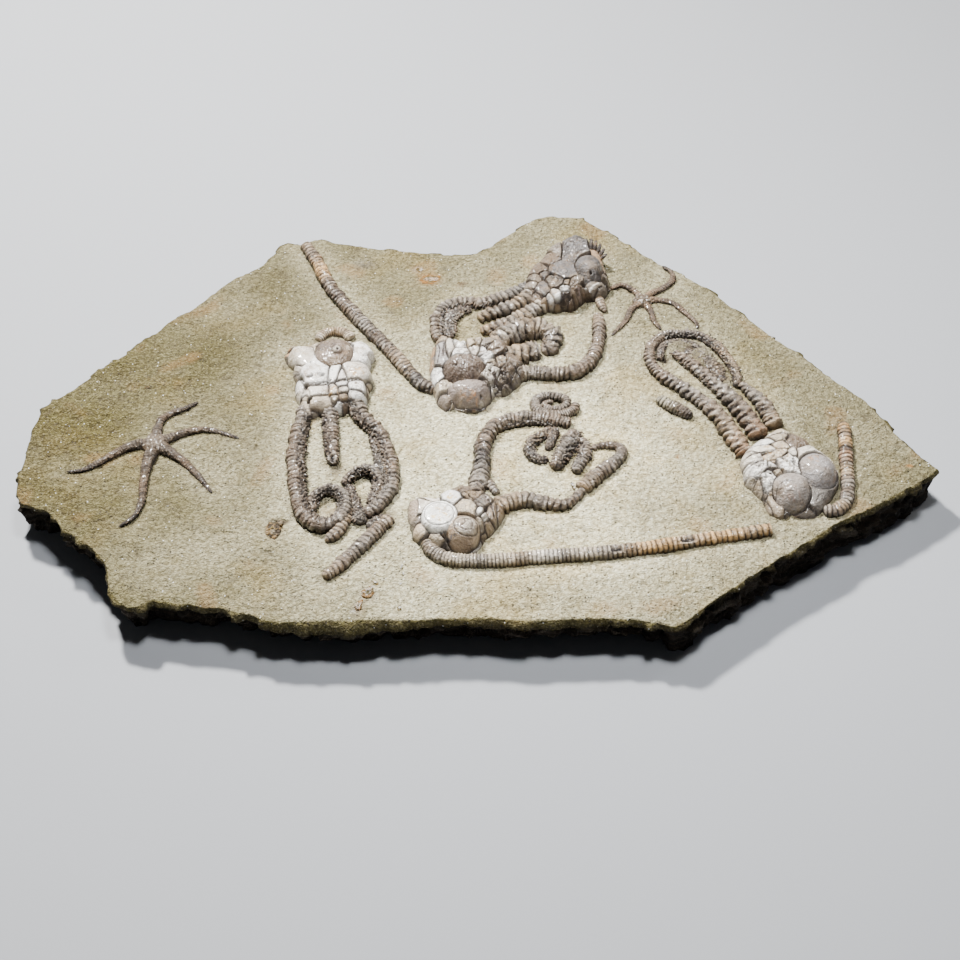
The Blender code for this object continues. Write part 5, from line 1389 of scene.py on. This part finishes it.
make_ringed("right_arm_calcite", (
    ("right_hook_rings", "right_crinoid_left_arm",
     run(HOOK_MAIN, (8.5, 8.5, 8, 7.5, 7, 6.5, 6, 5.5, 4.5),
         ((0.27, 0.155, 0.085), TAN, UMBER, GREY, UMBER, UMBER, UMBER), "zigzag",
         (4, 3.8, 3.2, 2.6, 2, 1.8), 132, crumple=1.5),
     run(HOOK_COMB, (5, 5.5, 5.5, 5.5, 5.5, 5, 4.6, 4), (UMBER, GREY, UMBER, TAN, UMBER), "loose", 1.35,
         142, crumple=1.9, grit=0.9, inner=1),
     run(((84, 27), (86.5, 36.5), (94, 39.6), (101, 37), (107, 30.5)), (3.5, 4.5, 5, 5, 4), (UMBER, GREY),
         "beaded", 1.5, 138, inner=2, lift=0.1, tall=0.8),
     run(((96, 34), (104, 29), (109, 21), (112.5, 11)), (5, 10, 10, 6), (UMBER, GREY, TAN, UMBER), "beaded",
         1.5, 139, inner=2, lift=-0.05, tall=0.6),
     run(((86, 18), (93, 10), (101, 1), (108, -8)), (4, 5, 5, 3.5), ((0.3, 0.27, 0.2), GREY), "beaded", 1.6,
         140, inner=2, lift=-0.1, tall=0.5),
     comb(RIGHT_HOOK, RIGHT_HOOK_WIDTHS, 1, (UMBER, GREY, DARK), 70, (0.9, 1.7), 133, between=(0.6, 1),
         sweep=0.2)),
    ("right_middle_rings", "right_crinoid_middle_arm",
     run(RIGHT_MIDDLE, (9, 9, 8, 7, 6.5, 5), ((0.25, 0.15, 0.085), UMBER, GREY, UMBER, UMBER), "zigzag",
         (4.4, 4, 3.4, 2.8), 134, crumple=1.6),
     comb(RIGHT_MIDDLE, (9, 9, 8, 7, 6.5, 5), 1, (UMBER, GREY), 70, (1, 2.4), 135, between=(0.45, 1))),
    ("right_short_rings", "right_crinoid_right_arm",
     run(RIGHT_SHORT, (9, 8.5, 7, 4), (TAN, UMBER, GREY, UMBER), "zigzag", (4.4, 3.6, 2.8), 136,
         crumple=1.6),
     comb(RIGHT_SHORT, (9, 8.5, 7, 4), -1, (UMBER, TAN), 40, (1, 2.2), 137, between=(0.4, 1))),
))

# %% [markdown]
# ## Brittle stars and loose pieces
# A brittle star has a low disc and five thin arms that bend as it died. The arms taper to a thread and
# carry short spines along both sides. The disc is a squashed ball, dimpled between the arms.

# %% Brittle stars
STAR_BROWN = (0.12, 0.086, 0.056)


def make_star(name, disc, arms, tints, seed, cad_node):
    """A disc and arms. An arm is a route and its widths."""
    bm = new_mesh()
    for index, (route, widths) in enumerate(arms):
        widths = tuple(0.88 * width for width in widths)
        add_run(bm, route, widths, tints, form="star", pitch=1.3, seed=seed + index, lift=0.1, tall=0.8,
                ends=(0.8, 2.4), step=0.3, spots=0.5, crumple=1.6)
        for side in (-1, 1):
            add_pinnules(bm, route, widths, side, (UMBER, TAN, DARK), 60, length=(0.4, 0.9), width=0.35,
                         seed=seed + 10 * index + side, between=(0.15, 0.96), sweep=1.3)
    x, y, radius, top = disc
    ball = bmesh.ops.create_icosphere(bm, subdivisions=5, radius=1)["verts"]
    points = np.array([vert.co[:] for vert in ball])
    turn = np.arctan2(points[:, 1], points[:, 0])
    swell = 1 + 0.1 * np.cos(5 * turn + seed)
    flat = placed(x + points[:, 0] * radius * swell, y + points[:, 1] * radius * swell, points[:, 2] * top)
    dents = 0.35 * uneven(flat, 1.6, seed) + 0.25 * uneven(flat, 0.8, seed + 3)
    flat[:, 2] += dents * MM
    # The disc is lighter on its bumps and darker in its dents, as painted light and shade, and its dents
    # count as grooves.
    tone = 0.85 + 0.6 * dents
    white = smooth_step(0.22, 0.4, uneven(flat, 1, seed + 7)) * 0.7
    tint = painted(np.array(STAR_BROWN) * tone[:, None], IVORY, white)
    move_and_paint(bm, ball, flat, tint, unit(-1.6 * dents))
    keep_piece(name, bm, cad_node, "star_calcite")


make_star(
    "left_star_scales", (-143.5, -30, 6.6, 3.2),
    ((((-143.5, -30), (-144, -20), (-143, -14), (-139, -9.5), (-133, -6), (-128, -2)), (8, 5, 4, 3.2, 1.6)),
        (((-143.5, -30), (-136, -25), (-129, -21.5), (-122, -20.5), (-115, -22.5), (-107, -26)),
            (8, 5, 3.8, 2.8, 1.4)),
        (((-143.5, -30), (-136, -35.5), (-129, -41.5), (-122, -50), (-115, -60)), (8, 4.6, 3.4, 1.3)),
        (((-143.5, -30), (-145.3, -42), (-145.3, -54), (-144.5, -65), (-146.5, -74), (-152, -80)),
            (8, 4.8, 3.6, 1.2)),
        (((-143.5, -30), (-152, -30.5), (-159, -34.5), (-166, -41), (-173, -46), (-180, -47)),
            (8, 5, 3.6, 1.2))),
    ((0.12, 0.084, 0.052), (0.072, 0.052, 0.035), (0.125, 0.08, 0.045), (0.066, 0.048, 0.033), DARK), 141,
    "left_brittle_star")
make_star(
    "right_star_scales", (79, 71.5, 4.5, 2.8),
    ((((79, 73), (75.5, 79), (70.5, 83.5), (66, 82), (61.5, 78)), (4, 3.5, 3, 1.6)),
        (((80, 73), (84, 77), (90, 81), (95, 87), (95, 94), (91, 99)), (4.5, 3.8, 3.4, 1.6)),
        (((78, 70), (73, 64), (70.5, 57), (66, 50), (62.5, 45)), (4.5, 3.5, 2.8, 1.3)),
        (((80, 71.5), (87, 71.5), (94, 69), (99, 62), (103.5, 55), (104, 50)), (4.5, 3.8, 3.4, 1.6)),
        (((80, 70), (82.5, 63), (83.5, 56), (86.5, 49.5)), (4.5, 3.4, 3, 1.4))),
    ((0.28, 0.18, 0.1), (0.16, 0.105, 0.066), (0.09, 0.064, 0.045), (0.16, 0.105, 0.066), UMBER, DARK), 191,
    "right_brittle_star")

# %% [markdown]
# Two pieces came loose before the mud covered them. They are ordinary runs of the loose form, so their discs
# slant and stand a little apart.

# %% Loose fragments
make_ringed("fragment_calcite", (
    ("loose_stem_rings", "loose_stem_fragment",
     run(((-63.5, -109), (-58, -103), (-51, -94), (-44, -84), (-37.5, -75)), (5, 6.5, 6.5, 6.5, 5.5),
         (TAN, UMBER, GREY, UMBER, TAN), "loose", 2.2, 241),
     run(((-47.5, -80), (-43.5, -76.5), (-40, -73.5)), (4, 7, 5), (GREY, UMBER), "beaded", 1.5, 242,
         inner=2, lift=-0.05, tall=0.5)),
    ("ringed_fragment_rings", "ringed_fragment",
     run(((80.5, 0), (88, -6.5), (95.5, -12.5)), (5, 6.8, 4.5),
         ((0.36, 0.32, 0.22), (0.34, 0.3, 0.21), UMBER, DARK), "loose", 1.5, 243, ends=(2.4, 1.8),
         crumple=1.6, grit=1)),
))

# %% [markdown]
# ## The slab
# The block split along its bedding, so its face is nearly flat, and it broke off at the sides in steps. It
# starts as a grid from the front edge to the back one. The border is then extruded over the worn rim and
# down the broken side in many small levels, each pushed in or out where a ledge runs. The fossils were
# freed with fine tools, so the rock dips a little round them.

# %% Outline of the slab
# Each stretch: the width of the worn rim, how far the side is undercut, and its corners, from the left end
# anticlockwise along the front.
SLAB_STRETCHES = (
    (1.5, 3, (-196, -1), (-199.5, -9), (-201, -20), (-201, -34), (-201, -47), (-200.5, -60)),
    (1.5, 4, (-197, -67)), (1, 6, (-190, -69.5)), (1, 7, (-184, -72), (-179.5, -77)), (1.5, 7, (-176, -83)),
    (2, 7, (-170, -87), (-163, -93)), (1.5, 7, (-156, -100), (-153, -107)), (1.5, 6, (-152, -114)),
    (1.5, 7, (-147.5, -121)), (1.5, 9, (-142, -125.5)), (2, 9, (-137, -125.5)),
    (2, 8, (-131.5, -122), (-124, -123.5), (-113, -125.5), (-103, -127)), (2.5, 9, (-96, -129.5)),
    (3, 10, (-88, -133)), (4, 11, (-80, -135.5)), (5, 11, (-70, -136), (-60, -135.5)),
    (4.5, 10, (-48, -134.5)), (4, 10, (-35, -134.5)), (3, 9, (-22, -133)),
    (2.5, 9, (-8, -132), (6, -132.5)), (3.5, 10, (20, -134), (34, -133.5)),
    (2.5, 9, (48, -132), (60, -132.5), (70, -134.5)), (2, 6, (77, -136)), (1.5, 2, (82, -133)),
    (1.2, 1, (88, -127.5), (97, -120), (108, -111), (119, -102.5), (130, -94.5), (140, -87)),
    (1.5, 1, (150, -79.5)), (2, 1, (158, -75), (168, -70.5), (178, -63), (188, -56.5)),
    (2, 1.5, (196, -51)), (1.5, 2, (200.5, -45)),
    (2, 2, (197, -39), (191, -30), (186, -21), (181, -10), (176.5, 0), (169, 9), (158, 23), (148, 36),
        (139, 47), (130, 60), (122, 69.5), (116, 79), (107, 88), (99, 97)),
    (1.5, 2, (90, 103), (83, 109.5)),
    (2, 2, (76, 118.5), (68, 127.5), (61, 133), (54, 140), (47, 142), (37, 143), (28, 140), (20, 132.5),
        (11, 124), (5, 117), (0, 112), (-6, 109), (-18, 109.5), (-30, 111), (-42, 113.5), (-54, 115),
        (-66, 118.5), (-74, 119.5), (-79, 122)), (1.5, 2, (-86, 121)), (1, 2, (-91, 117.5)),
    (1.5, 2, (-98, 118.5)),
    (2, 2, (-103, 114), (-110, 101), (-115, 95.5), (-122, 91.5), (-128, 84), (-135, 73.5), (-142, 64),
        (-150, 57), (-157, 45.5), (-166, 33), (-175, 25), (-181, 17), (-188, 7)),
)
COLUMNS, ROWS = 330, 205
slab_table = np.array(
                      [(*corner, rim, under) for rim, under,
                          *corners in SLAB_STRETCHES for corner in corners], float)
widest = slab_table[:, :2]
ahead = np.roll(widest, -1, axis=0) - widest
ahead /= np.linalg.norm(ahead, axis=1, keepdims=True)
sideways = ahead + np.roll(ahead, 1, axis=0)
sideways /= np.linalg.norm(sideways, axis=1, keepdims=True)
inward = np.stack([-sideways[:, 1], sideways[:, 0]], axis=1)
brink = widest + inward * slab_table[:, 2:3]
leftmost, rightmost = int(np.argmin(brink[:, 0])), int(np.argmax(brink[:, 0]))
front_chain = brink[4:rightmost + 1]
back_chain = np.vstack([brink[rightmost:], brink[:3]])[::-1]
print("brink from", brink[:, 0].min().round(1), "to", brink[:, 0].max().round(1), "mm")


def by_x(chain, x):
    """The chain's Y at each X."""
    order = np.argsort(chain[:, 0], kind="stable")
    return np.interp(x, chain[order, 0], chain[order, 1])


# %% [markdown]
# The columns of the grid are closer together where an edge runs steeply, so that no part of the border is
# coarse. The footprints of all the fossils were gathered as they were made. A KD tree of them tells how far
# any point of the rock is from the nearest fossil.

# %% Columns of the face
fine_x = np.linspace(brink[:, 0].min() + 0.15, brink[:, 0].max() - 0.15, 4000)
slopes = [np.abs(np.gradient(by_x(chain, fine_x), fine_x)) for chain in (front_chain, back_chain)]
demand = np.sqrt(1 + np.clip(np.maximum(*slopes), 0, 3) ** 2)
reached = np.concatenate([[0], np.cumsum(demand[1:])])
column_x = np.interp(np.linspace(0, reached[-1], COLUMNS + 1), reached, fine_x)

footprint_tree = kdtree.KDTree(len(footprints))
for index, (x, y, width) in enumerate(footprints):
    footprint_tree.insert((x, y, 0), index)
footprint_tree.balance()


def distance_to_fossil(x, y):
    """How far each point of the face is from the nearest fossil's flank, in millimetres."""
    far = np.empty(len(x))
    for index, point in enumerate(zip(x.tolist(), y.tolist())):
        _, nearest, distance = footprint_tree.find((*point, 0))
        far[index] = distance - footprints[nearest][2]
    return np.clip(far, 0, None)


# %% [markdown]
# Marks of the face are drawn one by one: a rusty nodule with a pit, a scatter of white crystals, a crinkled
# bit of shell, thin cracks, and the rubble inside the right crinoid's hook.

# %% Marks on the face
# Each mark: middle, half widths, lift, then shares of rust, paleness and dark.
FACE_MARKS = (
    ((-86.5, -81.5), (3.6, 5.6), -1.2, 0.3, 0, 0.75), ((-83.5, -76.5), (3, 1.5), -1.2, 0.1, 0, 1.2),
    ((-24.5, 88.5), (6, 4.8), -0.1, 0.4, 0, 0.1), ((-31, 96), (2.4, 2.4), 0.1, 0, 0.25, 0.1),
    ((-9, 84), (2.2, 2), 0.5, 0.3, 0, 0.7), ((-57, 100), (6, 4), 0.35, 0, 0.1, 0.35),
    ((-45, -117), (3.4, 4.6), -0.3, 0.15, 0.15, 0.3), ((-49, -125), (1.8, 4.2), -0.3, 0.15, 0.15, 0.35),
    ((-153, 8), (1, 0.9), -0.2, 0, 0, 0.8), ((107, 8), (1.2, 1), 0, 0.9, 0, 0),
    ((87, -38), (1, 1.2), 0, 0.8, 0, 0), ((188, -43), (1.6, 1.2), 0, 0.8, 0, 0),
    ((-41, -74), (4.5, 4), 0.1, 0.1, 0, 0.3), ((87, 28), (2.4, 3), -1, 0, 0, 0.8),
    ((103, 28), (6, 12), 2.6, 0.05, 0, 0.35), ((94, 38), (7, 4), 2.2, 0.05, 0, 0.35),
    ((112, 14), (4, 7), 1.6, 0.05, 0, 0.3), ((-65.5, -66.5), (3.6, 5), -0.8, 0, 0, 0.25),
    ((-62, -46), (3.5, 4), -0.7, 0.1, 0, 0.45),
)
FACE_CRACKS = (
    (((-41, -93), (-38, -99), (-33, -100)), 0.35, -0.5),
    (((-51, -128), (-47, -118), (-43, -112)), 0.4, 0.35), (((39, -53), (40.5, -55.5), (41, -58)), 0.4, 0.4),
    (((104, -30), (118, -24), (131, -16)), 0.5, -0.12),
)
MASKS = ("rust", "pale", "dust_and_light_pool", "groove", "side")


def mound(x, y, middle, wide):
    """A smooth mound on the plan, 1 at its middle, with these half widths."""
    return np.exp(-(((x - middle[0]) / wide[0]) ** 2) - (((y - middle[1]) / wide[1]) ** 2))


def new_stone():
    """An empty bmesh with a layer for each mask."""
    bm = bmesh.new()
    return bm, {title: bm.verts.layers.float.new(title) for title in MASKS}


def move_and_mask(verts, layers, places, *masks):
    """Puts the points in place and gives them their masks, in the order of MASKS."""
    for vert, place, *values in zip(verts, places.tolist(), *(mask.tolist() for mask in masks)):
        vert.co = place
        for title, value in zip(MASKS, values):
            vert[layers[title]] = value


def face_of_slab(x, y, seed):
    """Height over the face, and the shares of rust, crystals, dust with a painted pool of light, and dirt
    with painted shade, at plan points.
    """
    flat = placed(x, y, np.zeros_like(x))
    lift = 0.45 * uneven(flat, 46, seed) + 0.34 * uneven(flat, 13, seed + 3)
    lift += 0.24 * uneven(flat, 5, seed + 6) + 0.17 * uneven(flat, 2.6, seed + 9)
    scabs = smooth_step(0.22, 0.3, uneven(flat, 21, seed + 12))
    lift += 0.34 * scabs
    pits = smooth_step(0.48, 0.62, uneven(flat, 3.6, seed + 15))
    lift -= 0.4 * pits
    far = distance_to_fossil(x, y)
    ring = bell(far / 3.2)
    lift += -0.45 * ring + 0.3 * bell((far - 5) / 4) * uneven(flat, 3.6, seed + 18)
    rust = 0.25 * smooth_step(0.35, 0.6, uneven(flat, 17, seed + 21))
    pale = np.zeros_like(x)
    # Painted shade: darker in a narrow band round every fossil and in the pits.
    dirt_and_shade = 0.34 * bell(far / 1.1) + 0.35 * pits
    wobble_x = x + 0.8 * uneven(flat, 2.6, seed + 27)
    wobble_y = y + 0.8 * uneven(flat, 2.6, seed + 30)
    for (middle_x, middle_y), (wide, long), up, *shares in FACE_MARKS:
        reach = ((wobble_x - middle_x) / wide) ** 2 + ((wobble_y - middle_y) / long) ** 2
        press = np.exp(-(reach**1.6))
        crumbs = 1 + 0.9 * uneven(flat, 1.8, seed + 33)
        lift += up * press * crumbs
        rust += shares[0] * press
        pale += shares[1] * press
        dirt_and_shade += shares[2] * press
    for line, wide, up in FACE_CRACKS:
        reach = np.min([segment_distance(wobble_x, wobble_y, a, b) for a, b in zip(line, line[1:])], axis=0)
        press = bell(reach / wide)
        lift += up * press
        dirt_and_shade += 0.6 * press * (up < 0)
        pale += 0.5 * press * (up > 0)
    # Painted light: the face is paler in a broad pool round the middle and darker towards the left end; near
    # the fossils and in blotches it is pale dust.
    dust_and_light_pool = 0.77 * mound(x, y, (12, -52), (108, 100))
    dust_and_light_pool += 0.27 * (1 - mound(x, y, (-165, -15), (80, 75)))
    dust_and_light_pool = dust_and_light_pool + 0.16 * bell(far / 9) + 0.2 * uneven(flat, 28, seed + 36)
    dust_and_light_pool = unit(dust_and_light_pool) ** 1.5
    return lift, *(unit(mask) for mask in (rust, pale, dust_and_light_pool, dirt_and_shade))


# %% [markdown]
# The face itself is one grid. Its rows are stretched between the front edge and the back edge at every
# column.

# %% Build the face
slab, mask_layers = new_stone()
order_layer = slab.verts.layers.int.new("place")
bmesh.ops.create_grid(slab, x_segments=COLUMNS, y_segments=ROWS, size=0.5)
face_verts = list(slab.verts)
grid = np.array([vert.co[:2] for vert in face_verts]) + 0.5
column = np.rint(grid[:, 0] * COLUMNS).astype(int)
face_x = column_x[column]
low, high = by_x(front_chain, face_x), by_x(back_chain, face_x)
face_y = low + (high - low) * grid[:, 1]
lift, *face_masks = face_of_slab(face_x, face_y, seed=301)
move_and_mask(face_verts, mask_layers, placed(face_x, face_y, lift), *face_masks)
print("face of", len(face_verts), "points")

# %% [markdown]
# The border is walked once, so that each of its points knows its place. Every new ring is extruded from the
# last one, keeps those places, and is moved as a whole.

# %% Walk the border
def evened(values, times):
    """Values round the border, each averaged with its neighbours this many times."""
    for _ in range(times):
        values = (np.roll(values, 1, axis=0) + values + np.roll(values, -1, axis=0)) / 3
    return values


edges = [edge for edge in slab.edges if edge.is_boundary]
start = edges[0].verts[0]
walk = [start]
previous = None
while True:
    following = next(
        edge.other_vert(walk[-1]) for edge in walk[-1].link_edges
        if edge.is_boundary and edge.other_vert(walk[-1]) is not previous)
    previous = walk[-1]
    if following is start:
        break
    walk.append(following)
for index, vert in enumerate(walk):
    vert[order_layer] = index
border = np.array([[vert.co.x, vert.co.y] for vert in walk]) / MM + np.array(PLAN_CENTRE)
turning = (border[:, 0] * np.roll(border[:, 1], -1) - np.roll(border[:, 0], -1) * border[:, 1]).sum()
facing = 1 if turning > 0 else -1
around = np.roll(border, -3, axis=0) - np.roll(border, 3, axis=0)
outward = np.stack([around[:, 1], -around[:, 0]], axis=1) * facing
outward /= np.linalg.norm(outward, axis=1, keepdims=True)
outward = evened(outward, 3)
outward /= np.linalg.norm(outward, axis=1, keepdims=True)
nearest_corner = np.argmin(np.linalg.norm(border[:, None] - brink[None], axis=2), axis=1)
rim_width, undercut = (evened(slab_table[nearest_corner, column], 12) for column in (2, 3))
brink_height = np.array([vert.co.z for vert in walk]) / MM - FACE
print("border of", len(walk), "points")

# %% [markdown]
# The side is broken across the layers. Three patterns shape it: ledges that run level, as the beds do,
# coarse chips and blocks, and a fine roughness. Where the undercut is deep, the side hangs over and stays
# in shade. The sharp tip at the right is kept calm, or its chips would leave splinters.

# %% Break the sides
RIM_ROWS, SIDE_ROWS = 4, 16
RIGHT_TIP = np.array([200.5, -45])


def ring_of(geometry):
    """The new border after an extrusion: its points in order, and its edges."""
    verts = [item for item in geometry if isinstance(item, bmesh.types.BMVert)]
    verts.sort(key=lambda vert: vert[order_layer])
    found = [item for item in geometry if isinstance(item, bmesh.types.BMEdge) and item.is_boundary]
    return verts, found


drop = 0.6 + 0.75 * rim_width
edge_line = border + outward * rim_width[:, None]
flat_edge = placed(edge_line[:, 0], edge_line[:, 1], np.zeros(len(walk)))
chipped = 0.9 * np.abs(uneven(flat_edge, 6, 401)) + 0.6 * uneven(flat_edge, 2.6, 404)
chipped += 1.2 * smooth_step(0.05, 0.2, uneven(flat_edge, 10, 407)) + 1.4 * blocky(flat_edge, 6, 409)
calm = 1 - 0.85 * bell(np.linalg.norm(edge_line - RIGHT_TIP, axis=1) / 10)
chipped *= calm
for row in range(1, RIM_ROWS + SIDE_ROWS + 1):
    made = bmesh.ops.extrude_edge_only(slab, edges=edges)["geom"]
    verts, edges = ring_of(made)
    if row <= RIM_ROWS:
        share = row / RIM_ROWS
        crumbs = 0.7 * share * calm * uneven(flat_edge, 2.4, 440 + row)
        offset = rim_width * share**0.9 - chipped * share + crumbs
        height = brink_height - drop * share**1.8 - 0.5 * chipped * share - 0.6 * np.abs(crumbs)
        side_share = 0.35 * share
    else:
        share = (row - RIM_ROWS) / SIDE_ROWS
        height = (-drop - 0.5 * chipped) * (1 - share) - FACE * share
        level = placed(edge_line[:, 0], edge_line[:, 1], height)
        beds = level * np.array([0.45, 0.45, 1.7])
        ledges = uneven(beds, 7.5, 411)
        ledges = 0.4 * ledges + 0.6 * np.round(ledges * 3) / 3
        chips = uneven(level * np.array([1, 1, 1.4]), 7.5, 417)
        fine = uneven(level, 2.4, 423)
        blocks = blocky(level * np.array([1, 1, 1.7]), 9, 431)
        depth = 2.4 * (0.5 + ledges) + 2.6 * np.abs(chips) + 1.2 * fine + 3.4 * blocks
        depth = 2 + (depth - 2) * calm
        fade = np.sin(math.pi * min(1, 0.12 + share)) ** 0.5 if share < 0.88 else 0.35
        offset = rim_width - chipped - undercut * share**0.85 - depth * fade
        side_share = min(1, 0.5 + 2 * share)
    ring = border + outward * offset[:, None]
    places = placed(ring[:, 0], ring[:, 1], height)
    clean = np.zeros(len(verts))
    # The side mask paints the broken side, and a little of the worn rim, nearly black as painted shade.
    move_and_mask(verts, mask_layers, places, clean, clean, clean, clean, clean + side_share)
bmesh.ops.contextual_create(slab, geom=edges)
keep_piece("slab_stone", slab, "slab", "siltstone")

# %% [markdown]
# ### Inclusions
# Some things in the face are too small for its grid: a rusty nodule, a patch with an orange rim, and white
# crystals in a thin vein. Each is a ball pressed nearly flat, half sunk and roughened, and it carries the
# face's masks, so the same finish colours it.

# %% Inclusions
# Each one: x, y, half widths, top, then the most rust, paleness and dark it may have, and its turn in
# degrees.
INCLUSIONS = (
    (-86.8, -82.5, 2.7, 4.2, 1, 0.4, 0.2, 2.6, 10), (-84.2, -78.2, 1.5, 1.7, 0.8, 0.4, 0.2, 1.2, 0),
    (-24.5, 88.5, 5, 3.4, 0.35, 1, 0.7, 0.2, 12), (-9.5, 84.5, 1.9, 1.6, 0.6, 0.4, 0.1, 0.7, 0),
    (-45, -116.5, 2.3, 3.6, 0.8, 0.6, 1, 0.5, -28), (-48.6, -123.5, 1.3, 2.8, 0.7, 0.6, 0.9, 0.6, -20),
    (-42.6, -111.5, 1.3, 1.4, 0.6, 0.3, 1, 0.3, 0), (-32, -102.8, 0.8, 1.3, 0.6, 0, 1.2, 0.2, 0),
    (-31.4, -106.6, 0.5, 1, 0.5, 0, 1.2, 0.2, 0), (-32.2, -112, 0.9, 0.9, 0.5, 0, 1.2, 0.2, 0),
    (-31.8, -117, 0.5, 1.2, 0.4, 0.1, 1, 0.2, 0), (-32.2, -125, 0.9, 1.4, 0.5, 0.2, 1, 0.3, 0),
    (40, -55.6, 0.7, 2.3, 0.7, 0.1, 0.9, 0.4, 15), (-57.5, 101, 3.2, 1.6, 0.5, 0, 0.2, 0.8, 20),
    (-153, 8, 1.1, 0.9, 0.5, 0.3, 0, 0.9, 0), (-29.5, 96, 2.2, 1.7, 0.4, 0.2, 0.5, 0.4, 0),
)
bm, mask_layers = new_stone()
for index, (x, y, wide, long, top, *most, turn) in enumerate(INCLUSIONS):
    ball = bmesh.ops.create_icosphere(bm, subdivisions=5 if wide * long > 4 else 4, radius=1)["verts"]
    points = np.array([vert.co[:] for vert in ball])
    ragged = 1 + 0.55 * uneven(points * MM, 0.6, 511 + index)
    across, along = points[:, 0] * wide * ragged, points[:, 1] * long * ragged
    sine, cosine = math.sin(math.radians(turn)), math.cos(math.radians(turn))
    flat = placed(x + across * cosine - along * sine, y + across * sine + along * cosine, np.zeros(len(ball)))
    rough = uneven(flat, 1.3, 521) + 0.6 * uneven(flat, 0.6, 524)
    from_middle = np.hypot(points[:, 0], points[:, 1])
    up = np.where(points[:, 2] > 0, points[:, 2] ** 0.6 * top * (1 + 0.7 * rough), points[:, 2] * 2)
    flat[:, 2] += up * MM
    rim = smooth_step(0.45, 0.85, from_middle)
    rust = most[0] * unit(0.35 + 0.65 * rim + 0.8 * rough)
    pale = most[1] * smooth_step(-0.1, 0.25, rough + 0.3 - 0.6 * rim)
    # Darker in its low spots and towards its rim: dirt and painted shade.
    dirt_and_shade = most[2] * unit(-2.2 * rough + 0.5 * rim - 0.1)
    clean = np.zeros(len(ball))
    shares = (unit(mask) for mask in (rust, pale, clean, dirt_and_shade, clean))
    move_and_mask(ball, mask_layers, flat, *shares)
keep_piece("face_inclusions", bm, "slab", "siltstone")

# %% [markdown]
# ## Floor, light and camera
# The slab lies on a plain pale floor, one large sheet of matt paper.

# %% Floor
PAPER = (0.3, 0.31, 0.33)
FLOOR_HALF = 3
floor_paper, paper_tree, paper_shader = new_finish("floor_paper")
paper_clouds = grouped(paper_tree, blotches, Size=1.5, Low=0.3, High=0.7)
paper_tone = blend(paper_tree, paper_clouds, PAPER, tuple(0.985 * channel for channel in PAPER))
paper_tree.links.new(paper_tone, paper_shader.inputs["Base Color"])
paper_shader.inputs["Roughness"].default_value = 0.85
bm = bmesh.new()
bmesh.ops.create_grid(bm, x_segments=1, y_segments=1, size=FLOOR_HALF)
floor = put_in_scene("floor", mesh_from("floor", bm, floor_paper))
print("floor of", 2.0 * FLOOR_HALF, "m")

# %% [markdown]
# The main light stands behind and to the left, low enough to rake over the relief. A weaker one from the
# right lights the far flanks, a small one from above lifts the middle, and a pale sky fills the shadows.

# %% Lights
def area_light(name, place, target, size, power, colour):
    data = bpy.data.lights.new(name, "AREA")
    data.shape = "DISK"
    data.size = size
    data.energy = power
    data.color = colour
    light = put_in_scene(name, data)
    light.location = place
    light.rotation_euler = (Vector(target) - Vector(place)).to_track_quat("-Z", "Y").to_euler()
    return light


WARM, COOL = (1, 0.985, 0.955), (0.97, 0.985, 1)
area_light("key_light", (-0.42, 0.62, 0.95), (0, 0, 0), 0.12, 61, WARM)
area_light("rim_light", (0.85, 0.55, 0.75), (0, 0, 0), 0.22, 3.5, WARM)
top_light = area_light("top_light", (0.06, -0.04, 0.85), (0.04, -0.03, 0), 0.16, 1.6, COOL)
top_light.data.spread = math.radians(70)
world = bpy.data.worlds.new("studio")
bpy.context.scene.world = world
world.use_nodes = True
sky = world.node_tree.nodes["Background"]
sky.inputs["Color"].default_value = (0.8, 0.84, 0.9, 1)
sky.inputs["Strength"].default_value = 0.07
print("three lights and a sky")

# %% [markdown]
# The camera looks from the front and 45 degrees down. Its long lens hardly distorts the slab.

# %% Camera
TARGET = Vector((0.00025, -0.0555, 0.02))
DISTANCE = 0.6925
TILT = math.radians(45)
camera_data = bpy.data.cameras.new("camera")
camera_data.lens = 60
camera_data.sensor_width = 36
camera_data.clip_start = 0.01
camera = put_in_scene("camera", camera_data)
camera.location = TARGET + DISTANCE * Vector((0, -math.cos(TILT), math.sin(TILT)))
camera.rotation_euler = (math.pi / 2 - TILT, 0, 0)
bpy.context.scene.camera = camera
print("camera at", DISTANCE, "m")
